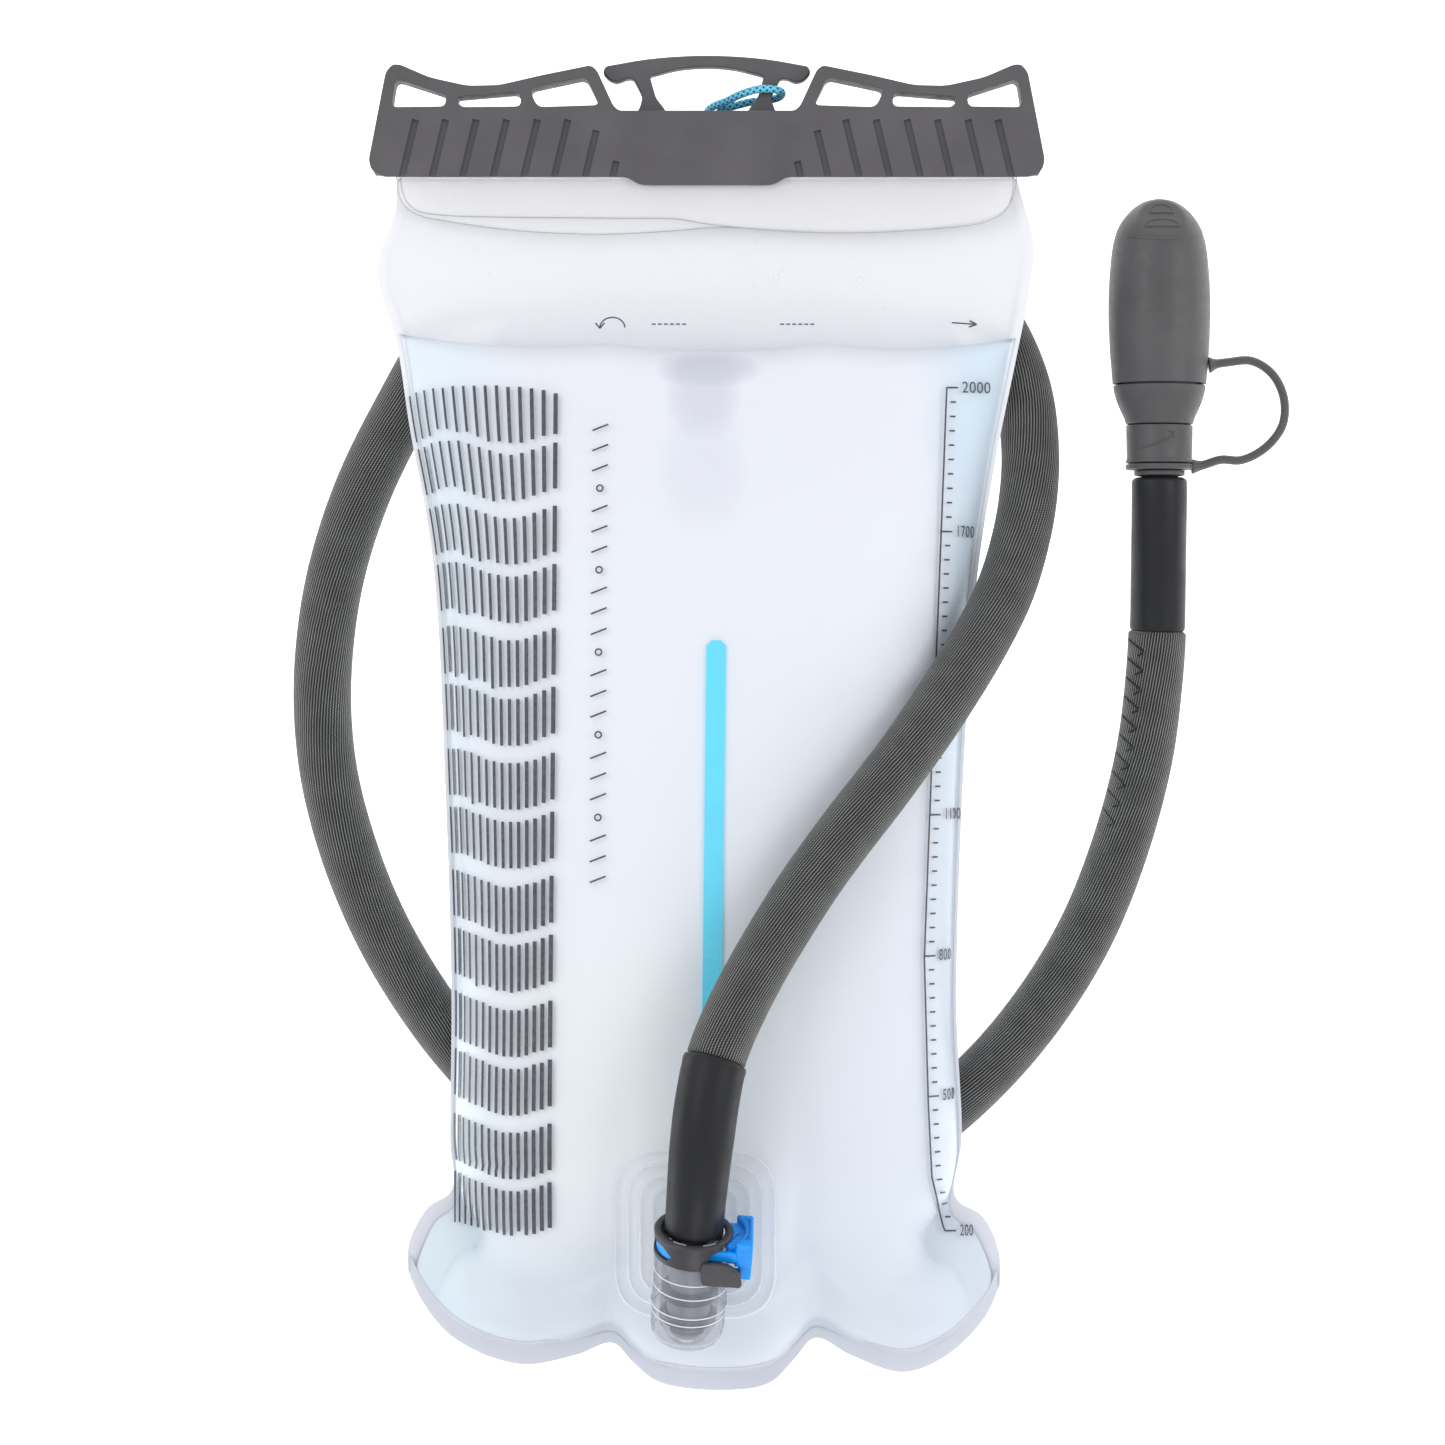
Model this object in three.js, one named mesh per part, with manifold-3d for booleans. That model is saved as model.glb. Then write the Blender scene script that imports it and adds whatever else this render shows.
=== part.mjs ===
// A soft water bladder lying on its back: a welded film bag with a slide closure, a quick-release outlet,
// an insulated hose looped round and under the bag, and a bite valve under a dust cap.
// Millimetres. +X is to the viewer's right, +Y runs from the base to the handle, and +Z is up.
import * as THREE from "three";
import { mergeVertices } from "three/addons/utils/BufferGeometryUtils.js";
import Module from "manifold-3d";

const wasm = await Module();
wasm.setup();

// ---- driving dimensions ----
const GAP = 0.3;                 // air between neighbouring pieces
const FILM = 0.6;                // thickness of each film
const SEAM_Z = 21;               // height of the side seams round the belly
const NECK_Z = 28;               // height of the seam in the neck and in the slider
const BELLY_Z = 56;              // crown of the filled front
const NECK_BULGE = 2.6;          // how far the front film stands off the seam in the neck
const TOP_Y = 158;               // where the films enter the slider
const BASE_Y = -194;             // lowest point of the base flange
const BODY_LENGTH = TOP_Y - BASE_Y;
const WATER_Y = 108;             // water line
const RIM = 3;                   // width of the flat side weld
const EAR_RIM = 11;              // extra flat weld in the two corner ears
const FLANGE = 6;                // width of the flat base flange
const HOSE_R = 8.5;
const TUBE_R = 5.2;
const TUBE_BORE_R = 3.2;
const SLEEVE_BORE_R = 7;
const CUFF_R = 9.1;
const UPPER_CUFF_R = 8.1;
const LOWER_CUFF_LENGTH = 49;
const UPPER_CUFF_LENGTH = 45.8;
const SLIDER_HALF = 97.7;
const SLIDER_BACK_Z = 20.5;
const SLIDER_FRONT_Z = 36;
const WING_BACK_Z = 24;
const HANDLE_BACK_Z = 24.5;
const HANDLE_DEPTH = 6;
const COLLAR = new THREE.Vector3(-3.5, -142.7, 71);   // centre of the outlet collar's mouth
const OUTLET_AXIS = new THREE.Vector3(0.063, 0.897, 0.438).normalize();
const VALVE_X = 132.4;
const VALVE_Z = 15.4;

const bladder = new THREE.Group();

// ---- materials ----
const paint = (color, roughness = 0.5, metalness = 0, opacity = 1) =>
  new THREE.MeshStandardMaterial({ color, roughness, metalness, opacity, transparent: opacity < 1 });
const film = () => paint(0xe6ecf4, 0.25, 0, 0.4);
const greyPlastic = () => paint(0x636163, 0.55);
const darkPlastic = () => paint(0x45444a, 0.45);
const blackRubber = () => paint(0x37383c, 0.6);
const bluePlastic = () => paint(0x1fa2ff, 0.35);
const clearPlastic = () => paint(0xd5dbe0, 0.1, 0, 0.45);
const steel = () => paint(0xb8bcc0, 0.3, 0.9);

function add(name, geometry, material, parent = bladder) {
  const mesh = new THREE.Mesh(geometry, material);
  mesh.name = name;
  parent.add(mesh);
  return mesh;
}

// ---- small maths ----
const clamp01 = (v) => Math.min(1, Math.max(0, v));
const smooth = (from, to, v) => {
  const k = clamp01((v - from) / (to - from));
  return k * k * (3 - 2 * k);
};
const swell = (k, power, root) => Math.pow(1 - Math.pow(1 - clamp01(k), power), root);
const toVector = (p) => new THREE.Vector3(p[0], p[1], p[2] ?? 0);
const splineOf = (points) => new THREE.CatmullRomCurve3(points.map(toVector), false, "centripetal");

// ---- solids from grids, lathes and extrusions ----
// A closed solid between two grids of points, upper(i, j) and lower(i, j).
function solidBetween(columns, rows, upper, lower) {
  const positions = [];
  const index = [];
  const put = (p) => positions.push(p.x, p.y, p.z);
  for (const side of [upper, lower]) {
    for (let j = 0; j <= rows; j++) {
      for (let i = 0; i <= columns; i++) put(side(i / columns, j / rows));
    }
  }
  const layer = (columns + 1) * (rows + 1);
  const at = (i, j, k) => k * layer + j * (columns + 1) + i;
  const quad = (a, b, c, d) => index.push(a, b, c, a, c, d);
  for (let j = 0; j < rows; j++) {
    for (let i = 0; i < columns; i++) {
      quad(at(i, j, 0), at(i, j + 1, 0), at(i + 1, j + 1, 0), at(i + 1, j, 0));
      quad(at(i, j, 1), at(i + 1, j, 1), at(i + 1, j + 1, 1), at(i, j + 1, 1));
    }
  }
  for (let i = 0; i < columns; i++) {
    quad(at(i, 0, 0), at(i + 1, 0, 0), at(i + 1, 0, 1), at(i, 0, 1));
    quad(at(i + 1, rows, 0), at(i, rows, 0), at(i, rows, 1), at(i + 1, rows, 1));
  }
  for (let j = 0; j < rows; j++) {
    quad(at(0, j + 1, 0), at(0, j, 0), at(0, j, 1), at(0, j + 1, 1));
    quad(at(columns, j, 0), at(columns, j + 1, 0), at(columns, j + 1, 1), at(columns, j, 1));
  }
  const geometry = new THREE.BufferGeometry();
  geometry.setAttribute("position", new THREE.Float32BufferAttribute(positions, 3));
  geometry.setIndex(index);
  return geometry;
}

// A film of even thickness whose upper face is surface(s, t).
function filmSolid(columns, rows, surface, thickness = FILM) {
  const step = 1e-3;
  const lower = (s, t) => {
    const alongS = surface(Math.min(1, s + step), t).clone().sub(surface(Math.max(0, s - step), t));
    const alongT = surface(s, Math.min(1, t + step)).clone().sub(surface(s, Math.max(0, t - step)));
    const inward = alongS.cross(alongT).normalize();
    return surface(s, t).clone().addScaledVector(inward, thickness);
  };
  return solidBetween(columns, rows, surface, lower);
}

const lathe = (profile, sides = 16) =>
  new THREE.LatheGeometry(profile.map(([r, y]) => new THREE.Vector2(r, y)), sides);

function circlePath(radius, sides, PathClass = THREE.Path) {
  const path = new PathClass();
  for (let k = 0; k < sides; k++) {
    const a = (k / sides) * Math.PI * 2;
    if (k === 0) path.moveTo(radius, 0);
    else path.lineTo(radius * Math.cos(a), radius * Math.sin(a));
  }
  path.closePath();
  return path;
}

function tubeAlong(curve, radius, sides, steps, bore = 0) {
  const section = circlePath(radius, sides, THREE.Shape);
  if (bore > 0) section.holes.push(circlePath(bore, sides));
  return new THREE.ExtrudeGeometry(section, { extrudePath: curve, steps, curveSegments: sides });
}

// The stretch of a curve between two lengths along it.
function stretch(curve, from, to, count) {
  const total = curve.getLength();
  const points = [];
  for (let k = 0; k <= count; k++) points.push(curve.getPointAt((from + ((to - from) * k) / count) / total));
  return new THREE.CatmullRomCurve3(points, false, "centripetal");
}

function plate(points, thickness, holes = []) {
  const shape = new THREE.Shape(points.map(([x, y]) => new THREE.Vector2(x, y)));
  holes.forEach((hole) => shape.holes.push(new THREE.Path(hole.map(([x, y]) => new THREE.Vector2(x, y)))));
  return new THREE.ExtrudeGeometry(shape, { depth: thickness, bevelEnabled: false });
}

// The corners of a polygon, each replaced by a short arc.
function rounded(points, radius, arcSteps = 4) {
  const out = [];
  const count = points.length;
  points.forEach((corner, k) => {
    const here = new THREE.Vector2(...corner);
    const before = new THREE.Vector2(...points[(k + count - 1) % count]).sub(here);
    const after = new THREE.Vector2(...points[(k + 1) % count]).sub(here);
    const reach = Math.min(radius, before.length() / 2.2, after.length() / 2.2);
    const start = here.clone().addScaledVector(before.normalize(), reach);
    const end = here.clone().addScaledVector(after.normalize(), reach);
    const bend = new THREE.QuadraticBezierCurve(start, here, end);
    bend.getPoints(arcSteps).forEach((p) => out.push([p.x, p.y]));
  });
  return out;
}

// ---- joining and cutting ----
function toManifold(geometry, matrix = new THREE.Matrix4()) {
  const bare = geometry.clone();
  bare.deleteAttribute("normal");
  bare.deleteAttribute("uv");
  bare.applyMatrix4(matrix);
  const merged = mergeVertices(bare, 1e-4);
  return new wasm.Manifold(
    new wasm.Mesh({
      numProp: 3,
      vertProperties: new Float32Array(merged.attributes.position.array),
      triVerts: new Uint32Array(merged.index.array),
    }),
  );
}

function fromManifold(solid) {
  const mesh = solid.getMesh();
  const geometry = new THREE.BufferGeometry();
  geometry.setAttribute("position", new THREE.Float32BufferAttribute(mesh.vertProperties, 3));
  geometry.setIndex(Array.from(mesh.triVerts));
  geometry.computeVertexNormals();
  return geometry;
}

function box(low, high) {
  const size = high.map((v, k) => v - low[k]);
  const geometry = new THREE.BoxGeometry(...size);
  geometry.translate(low[0] + size[0] / 2, low[1] + size[1] / 2, low[2] + size[2] / 2);
  return geometry;
}

// ---- the hose's route, from the outlet collar to the valve ----
const HOSE_ROUTE = [
  [-3.5, -142.7, 71], [-2.7, -132.5, 75.3], [-1.4, -119, 78.1], [0.4, -105.5, 78.5], [2.6, -95, 77.1],
  [6.2, -85.6, 74.6], [13, -72.1, 70.3], [20.9, -58.7, 67.2], [29.7, -45.1, 65], [39.6, -31.6, 62.4],
  [50.2, -18.1, 58.8], [60.5, -4.4, 53.4], [70, 9.4, 46.6], [78.7, 23.3, 38.8], [86, 37.2, 30.8],
  [90.8, 51, 23.2], [93.8, 65, 16.8], [94.8, 80, 11.7], [92.6, 98, 9], [85.6, 114.9, 8.7],
  [74.4, 129.4, 8.7], [59.8, 140.6, 8.7], [42.8, 147.6, 8.7], [24.6, 150.4, 8.7], [6, 151, 8.7],
  [-13, 149.6, 8.7], [-36, 144.4, 8.7], [-57, 133.6, 8.7], [-75, 116, 8.7], [-90, 91, 8.7],
  [-102, 66, 8.7], [-109.8, 40, 8.7], [-113, 12, 8.7], [-111.6, -12, 8.7], [-106.4, -34, 8.7],
  [-97.5, -57, 8.7], [-86, -77.6, 8.7], [-72.2, -96.3, 8.7], [-56, -113, 8.7], [-36, -126.6, 8.7],
  [-12, -134.8, 8.7], [14, -136.2, 8.7], [40, -131, 8.7], [63, -119, 8.7], [83, -101.6, 8.7],
  [98.9, -82.2, 8.7], [112, -60.2, 8.7], [122, -34.6, 8.7], [128.6, -9, 8.7], [131.5, 14, 8.8],
  [132.3, 28, 9.4], [132.4, 42, 11.3], [132.4, 54, 13.6], [132.4, 64, 15.1], [132.4, 68, 15.4],
  [132.4, 72, 15.4],
];
const hoseLine = splineOf(HOSE_ROUTE);
const hoseLength = hoseLine.getLength();

// Distance in plan from a point to the stretch of hose under the bag.
const FLOOR_HOSE = hoseLine.getSpacedPoints(220).filter((p) => p.z < 9.2);
const hoseDistance = (x, y) => Math.min(...FLOOR_HOSE.map((p) => Math.hypot(p.x - x, p.y - y)));

// ---- the bag's outline: four edge curves, blended into one patch ----
const LEFT_EDGE = splineOf([
  [-89.9, TOP_Y], [-90.6, 148], [-95.8, 132], [-90.2, 109.8], [-87, 88], [-80, 47.3], [-76.2, -22.6],
  [-74.5, -80.8], [-74.9, -121.5], [-74.5, -136.5], [-81.5, -141.5], [-87, -152], [-87.3, -160],
]);
const RIGHT_EDGE = splineOf([
  [90, TOP_Y], [94.9, 138.4], [94, 127], [89.6, 103.6], [84.8, 79.6], [79.4, 47], [76, 6.5],
  [72.8, -80.8], [74.3, -121.5], [72.6, -138.5], [80.5, -144], [85.2, -154], [85.7, -164],
]);
// Three lobes along the base: two corner lobes and a middle one.
const BASE_EDGE = splineOf([
  [-87.3, -160], [-82.6, -169.7], [-73, -180], [-54.2, -186.8], [-38, -184], [-27.3, -180.4],
  [-21.3, -186.1], [-14, -191.6], [3.8, -194], [18, -192], [25.3, -185.2], [31.4, -179], [42, -184.2],
  [57.1, -189.2], [70, -184.4], [81.1, -173.6], [85.7, -164],
]);
const leftAt = (t) => LEFT_EDGE.getPointAt(t);
const rightAt = (t) => RIGHT_EDGE.getPointAt(t);
const baseAt = (s) => BASE_EDGE.getPointAt(s);

function planPoint(s, t) {
  const left = leftAt(t);
  const right = rightAt(t);
  const base = baseAt(s);
  const topX = THREE.MathUtils.lerp(leftAt(0).x, rightAt(0).x, s);
  const corners = (pick) =>
    (1 - s) * (1 - t) * leftAt(0)[pick] + s * (1 - t) * rightAt(0)[pick]
    + (1 - s) * t * leftAt(1)[pick] + s * t * rightAt(1)[pick];
  const x = (1 - t) * topX + t * base.x + (1 - s) * left.x + s * right.x - corners("x");
  const y = (1 - t) * TOP_Y + t * base.y + (1 - s) * left.y + s * right.y - corners("y");
  return new THREE.Vector3(x, y, 0);
}

// ---- the bag's heights ----
const seamHeight = (y) => SEAM_Z + (NECK_Z - SEAM_Z) * smooth(85, 150, y);
const rimWidth = (y) => RIM + EAR_RIM * smooth(-134, -150, y);
const crownHeight = (y) => THREE.MathUtils.lerp(BELLY_Z, NECK_Z + NECK_BULGE, smooth(10, 142, y));

// 0 on the weld, 1 in the middle of the bag.
function inside(s, t, y) {
  const width = rightAt(t).x - leftAt(t).x;
  const rim = rimWidth(y);
  return clamp01((Math.min(s, 1 - s) * width - rim) / (width / 2 - rim));
}

// How fully the panels have parted, counted up from the base flange.
const baseSwell = (t, reach) => swell(((1 - t) * BODY_LENGTH - FLANGE) / reach, 2.4, 0.6);

const baseLift = (s) => Math.pow(Math.sin(Math.PI * clamp01(s)), 0.8);

function frontPoint(s, t) {
  const p = planPoint(s, t);
  const low = seamHeight(p.y) + 11 * baseLift(s) * smooth(-120, -185, p.y);
  const rise = crownHeight(p.y) - low;
  p.z = low + rise * swell(inside(s, t, p.y), 2.4, 0.6) * baseSwell(t, 84) + GAP + FILM;
  return p;
}

const overHose = (distance) => 19.4 * (1 - smooth(10, 32, distance));

function backHeight(s, t, x, y) {
  const low = seamHeight(y) - 13 * baseLift(s) * smooth(-130, -180, y);
  const neck = 25.4 * smooth(62, 146, y);
  const open = swell(inside(s, t, y), 4, 0.5) * baseSwell(t, 40);
  const resting = THREE.MathUtils.lerp(low, Math.min(neck, low), open);
  return Math.max(resting, Math.min(overHose(hoseDistance(x, y)), low));
}

// The back film's outer face: flat on the floor, or lifted where it lies over the hose.
function backPoint(s, t) {
  const p = planPoint(s, t);
  p.z = Math.max(0, backHeight(s, t, p.x, p.y) - GAP - FILM);
  return p;
}

const outletMatrix = new THREE.Matrix4().compose(
  COLLAR,
  new THREE.Quaternion().setFromUnitVectors(new THREE.Vector3(0, 1, 0), OUTLET_AXIS),
  new THREE.Vector3(1, 1, 1),
);

// A cylinder round the outlet's axis, between two places along it.
function outletCore(radius, low, high, sides = 24) {
  const geometry = new THREE.CylinderGeometry(radius, radius, high - low, sides);
  geometry.translate(0, (low + high) / 2, 0);
  return toManifold(geometry, outletMatrix);
}

function addBag() {
  const front = toManifold(filmSolid(16, 26, (s, t) => frontPoint(s, t)));
  add("front_panel", fromManifold(front.subtract(outletCore(11.2, -42, -5, 20))), film());
  add("back_panel", solidBetween(18, 30, (s, t) => {
    const p = backPoint(s, t);
    p.z += FILM;
    return p;
  }, (s, t) => backPoint(s, t)), film());
}

function addGusset() {
  const from = 0.06;
  const span = 1 - 2 * from;
  const surface = (s, w) => {
    const along = from + span * s;
    const upper = frontPoint(along, 0.985);
    const lower = backPoint(along, 0.985);
    upper.z -= FILM + 0.9;
    lower.z += FILM + 0.9;
    const p = upper.lerp(lower, w);
    p.y -= 5 * Math.sin(Math.PI * w) * Math.sin(Math.PI * along);
    return p;
  };
  add("base_gusset", filmSolid(16, 4, surface), film());
}

function addStripAndWater() {
  const stripAt = (s, t) => {
    const y = 23.5 - t * 143;
    const p = frontPoint(0.5, (TOP_Y - y) / BODY_LENGTH);
    return new THREE.Vector3(1.2 - 1.6 * t + (s - 0.5) * 5.6, y, p.z - FILM - 1.4);
  };
  const strip = filmSolid(1, 12, stripAt, 1.2);
  add("centre_strip", strip, bluePlastic());
  const pocket = filmSolid(1, 12, (s, t) => {
    const p = stripAt(-0.1 + 1.2 * s, -0.01 + 1.02 * t);
    p.z += 3;
    return p;
  }, 5);
  const start = (TOP_Y - WATER_Y) / BODY_LENGTH;
  const end = 0.94;
  const place = (s, t) => [0.07 + 0.86 * s, start + (end - start) * t];
  const top = (s, t) => {
    const p = frontPoint(...place(s, t));
    p.z -= FILM + 3;
    return p;
  };
  const bottom = (s, t) => {
    const p = backPoint(...place(s, t));
    p.z += FILM + 5;
    return p;
  };
  const water = toManifold(solidBetween(12, 18, top, bottom));
  const carved = water.subtract(toManifold(pocket)).subtract(outletCore(12.4, -46, 20, 16));
  add("water", fromManifold(carved), paint(0xd5e6f2, 0.05, 0, 0.35));
}

// ---- the mouth: the films run up into the slider, fold over and hang down in front as two lips ----
function addMouth() {
  const roll = box([-88, 164, SLIDER_BACK_Z + 3.4], [88, 172.6, SLIDER_FRONT_Z - 3.4]);
  add("mouth_fold", roll, film());
  const lip = (name, z, outline) => {
    const shape = plate(rounded(outline, 5), FILM);
    shape.translate(0, 0, z);
    add(name, shape, film());
  };
  lip("back_lip", NECK_Z + NECK_BULGE + 1.1, [
    [-89, 163.4], [-89.6, 152], [-84, 147], [-62, 144], [-34, 141.8], [-12, 143.4], [0, 144.2], [14, 143.2],
    [40, 141.8], [62, 143.6], [84, 146], [88, 151], [89, 163.4],
  ]);
  lip("front_lip", NECK_Z + NECK_BULGE + 2, [
    [-88, 163.4], [-88.4, 153], [-82, 147.4], [-60, 146.4], [60, 146.4], [81, 147.4], [86.6, 153],
    [88, 163.4],
  ]);
}

// ---- slider: channel, wings and handle in one moulding ----
const mirrored = (points) => points.map(([x, y]) => [-x, y]).reverse();

function sliderChannel() {
  const half = [SLIDER_BACK_Z, SLIDER_FRONT_Z];
  const section = [
    [157.8, half[0]], [176.9, half[0]], [176.9, half[1]], [157.8, half[1]],
    [157.8, half[1] - 2.6], [160.4, half[1] - 2.6], [162.6, half[1] - 1.8], [174.4, half[1] - 1.8],
    [174.4, half[0] + 1.8], [162.6, half[0] + 1.8], [160.4, half[0] + 3.2], [157.8, half[0] + 3.2],
  ];
  const shape = new THREE.Shape(section.map(([y, z]) => new THREE.Vector2(y, z)));
  const geometry = new THREE.ExtrudeGeometry(shape, { depth: 2 * SLIDER_HALF, bevelEnabled: false });
  const turn = new THREE.Matrix4().set(0, 0, 1, -SLIDER_HALF, 1, 0, 0, 0, 0, 1, 0, 0, 0, 0, 0, 1);
  return toManifold(geometry, turn);
}

function sliderOutline() {
  const right = [
    [19.3, 155.4], [23, 157.8], [93.5, 157.8], [97.2, 160.4], [97.7, 163.4], [92.8, 188], [90.8, 190.2],
    [88.6, 190.1], [80, 186.4], [69.1, 184], [60, 184.2], [47, 187.2], [33.6, 189.9], [31.8, 188.6],
    [27, 178.2], [25.4, 176.8],
  ];
  return [...right, ...mirrored(right)];
}

const WING_OPENINGS = [
  [[75.2, 181.4], [75.6, 178], [91.2, 177.8], [89.9, 186.1]],
  [[54.1, 182.3], [53.5, 178], [71.1, 177.8], [72.6, 180.7]],
  [[34.9, 186.6], [30.9, 178.4], [48.9, 177.8], [51.3, 183.1]],
];
const GROOVE_TOPS = [
  [40.1, 174.4], [48.9, 174.4], [57.8, 174.4], [66.6, 174.4], [75.4, 174.4], [84.1, 174.4], [31.9, 171.3],
  [26.1, 162.4],
];
const GROOVE_LEAN = 3.9;
const GROOVE_DEPTH = 0.9;

// The handle: a bowed grip on two waisted posts.
function handleGeometry() {
  const outer = new THREE.SplineCurve([
    new THREE.Vector2(29.4, 190.3), new THREE.Vector2(16, 192.5), new THREE.Vector2(0, 193.4),
    new THREE.Vector2(-16, 192.5), new THREE.Vector2(-29.4, 190.3),
  ]).getPoints(16).map((p) => [p.x, p.y]);
  const leftEnd = [[-30.2, 188.4], [-28.4, 186.2], [-25.9, 185.4], [-21.1, 187.4]];
  const leftPost = [[-18.9, 179.8], [-20, 176.4], [-11.6, 176.4], [-14.6, 179.8], [-16.5, 187.3]];
  const arch = new THREE.SplineCurve([
    new THREE.Vector2(-16.5, 187.3), new THREE.Vector2(-8, 189.4), new THREE.Vector2(0, 190),
    new THREE.Vector2(8, 189.4), new THREE.Vector2(16.5, 187.3),
  ]).getPoints(10).slice(1, -1).map((p) => [p.x, p.y]);
  return [...outer, ...leftEnd, ...leftPost, ...arch, ...mirrored(leftPost), ...mirrored(leftEnd)];
}

function addSlider() {
  const tab = box([-21, 155.4, SLIDER_FRONT_Z - 2.4], [21, 158.4, SLIDER_FRONT_Z]);
  const silhouette = plate(rounded(sliderOutline(), 1.2, 2), 40);
  const wings = plate(
    rounded(sliderOutline(), 1.2, 2), SLIDER_FRONT_Z - WING_BACK_Z,
    WING_OPENINGS.flatMap((hole) => [rounded(hole, 2), mirrored(rounded(hole, 2))]),
  );
  wings.translate(0, 0, WING_BACK_Z);
  const wingOnly = toManifold(wings).subtract(toManifold(box([-99, 150, 0], [99, 176.5, 50])));
  const handle = plate(handleGeometry(), HANDLE_DEPTH);
  handle.translate(0, 0, HANDLE_BACK_Z);
  let solid = sliderChannel().add(toManifold(tab)).intersect(toManifold(silhouette));
  solid = solid.add(wingOnly).add(toManifold(handle));
  const groove = (x, top, side) => {
    const bottomX = x + GROOVE_LEAN * side * ((top - 158.4) / 16);
    const outline = [[x - 1, top], [x + 1, top], [bottomX + 1, 158.4], [bottomX - 1, 158.4]];
    const cut = plate(outline.reverse(), GROOVE_DEPTH + 1);
    cut.translate(0, 0, SLIDER_FRONT_Z - GROOVE_DEPTH);
    return toManifold(cut);
  };
  for (const side of [-1, 1]) {
    for (const [x, top] of GROOVE_TOPS) solid = solid.subtract(groove(side * x, top, side));
  }
  add("slider", fromManifold(solid), greyPlastic());
}

// ---- tether: a doubled cord from a tab on the bag's back to the handle's right post ----
const TETHER_R = 1.15;
const TETHER_ROUTE = [
  [-2, 169.6, 17.2], [-0.8, 174, 17], [0.2, 178.2, 18.4], [1.6, 179.4, 22], [5.4, 180.4, 26.6],
  [10.4, 182.2, 31], [15.6, 183.4, 32.6], [20.4, 183.2, 31.6], [21.8, 182.6, 27.4], [20.4, 181.8, 23.2],
  [16.4, 181.2, 22.2], [12.4, 180.6, 23.4], [8.4, 179.6, 23.4], [4.4, 178.9, 20.6], [3.6, 178, 18],
  [2.6, 174, 17], [1.8, 169.6, 17.2],
];

function addTether() {
  add("tether_cord", tubeAlong(splineOf(TETHER_ROUTE), TETHER_R, 8, 30), paint(0x3ba7cf, 0.8));
  const tab = plate(
    rounded([[-6, 140], [6, 140], [6, 176], [-6, 176]], 4), FILM,
    [rounded([[-3.4, 170.6], [-3.4, 173.4], [3.4, 173.4], [3.4, 170.6]], 1.2)],
  );
  tab.translate(0, 0, 19);
  add("tether_tab", tab, film());
}

// ---- outlet: everything on one slanted axis, +Y of the turned group being the way out ----
const outlet = new THREE.Group();
outlet.applyMatrix4(outletMatrix);
bladder.add(outlet);

const SOCKET_R = 10.6;
const SOCKET_BORE = 8.2;
const SOCKET_TOP = -8.1;
const COLLAR_BORE = 8.6;
const COLLAR_R = 11.2;
const COLLAR_LOW = -7.8;

function addOutletBody() {
  add("outlet_socket", lathe([
    [2.2, -39.5], [7, -38.6], [9.6, -36], [SOCKET_R, -32.5], [SOCKET_R, SOCKET_TOP],
    [SOCKET_BORE, SOCKET_TOP], [SOCKET_BORE, -31.4], [7.2, -34], [5.6, -35.6], [5.6, -37.2], [2.2, -38.2],
    [2.2, -39.5],
  ], 20), clearPlastic(), outlet);
  add("hose_plug", lathe([
    [3.4, -31], [6.2, -31], [6.2, -30], [5.4, -30], [5.4, -27], [6.2, -27], [6.2, -22.2], [5.4, -22.2],
    [5.4, -18.4], [6.2, -18.4], [6.2, -2], [2.8, -2], [2.8, -31], [3.4, -31],
  ]), greyPlastic(), outlet);
  const ring = (low, high) => lathe([
    [5.8, low + 0.8], [6.6, low], [7.3, low], [7.9, low + 0.8], [7.9, high - 0.8], [7.3, high], [6.6, high],
    [5.8, high - 0.8], [5.8, low + 0.8],
  ]);
  add("upper_o_ring", ring(-21.9, -18.7), blackRubber(), outlet);
  add("lower_o_ring", ring(-29.7, -27.3), blackRubber(), outlet);
  add("shutoff_poppet", lathe([
    [0, -35.2], [4.6, -35.2], [5, -34.4], [5, -33.4], [2, -32.6], [0, -32.2],
  ], 16), greyPlastic(), outlet);
}

function helix(radius, low, high, turns) {
  const points = [];
  const steps = turns * 8;
  for (let k = 0; k <= steps; k++) {
    const a = (k / 8) * Math.PI * 2;
    points.push([radius * Math.cos(a), low + ((high - low) * k) / steps, radius * Math.sin(a)]);
  }
  return splineOf(points);
}

// A flanged band round the hose plug. A front cheek, a rear cheek and a floor hold the button.
function collarGeometry() {
  const band = toManifold(lathe([
    [COLLAR_BORE, COLLAR_LOW], [COLLAR_R, COLLAR_LOW], [COLLAR_R, -1], [COLLAR_R - 0.8, 0], [COLLAR_BORE, 0],
    [COLLAR_BORE, COLLAR_LOW],
  ], 24));
  const frontCheek = toManifold(box([2.4, -15.2, 7.2], [15, -6.8, 9]));
  const rearCheek = toManifold(box([2.4, -15.2, -8.6], [13.6, -3, -7]));
  const ledge = toManifold(box([4, -15.2, -8], [15, -13.4, 8]));
  const pocket = toManifold(box([6.2, -13.4, -6.9], [20, 4, 6.9]));
  const clearance = toManifold(lathe([[0, -40], [SOCKET_R + GAP, -40], [SOCKET_R + GAP, COLLAR_LOW],
    [COLLAR_BORE, COLLAR_LOW], [COLLAR_BORE, 9], [0, 9]]));
  const solid = band.add(frontCheek).add(rearCheek).add(ledge).subtract(pocket).subtract(clearance);
  return fromManifold(solid);
}

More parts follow.
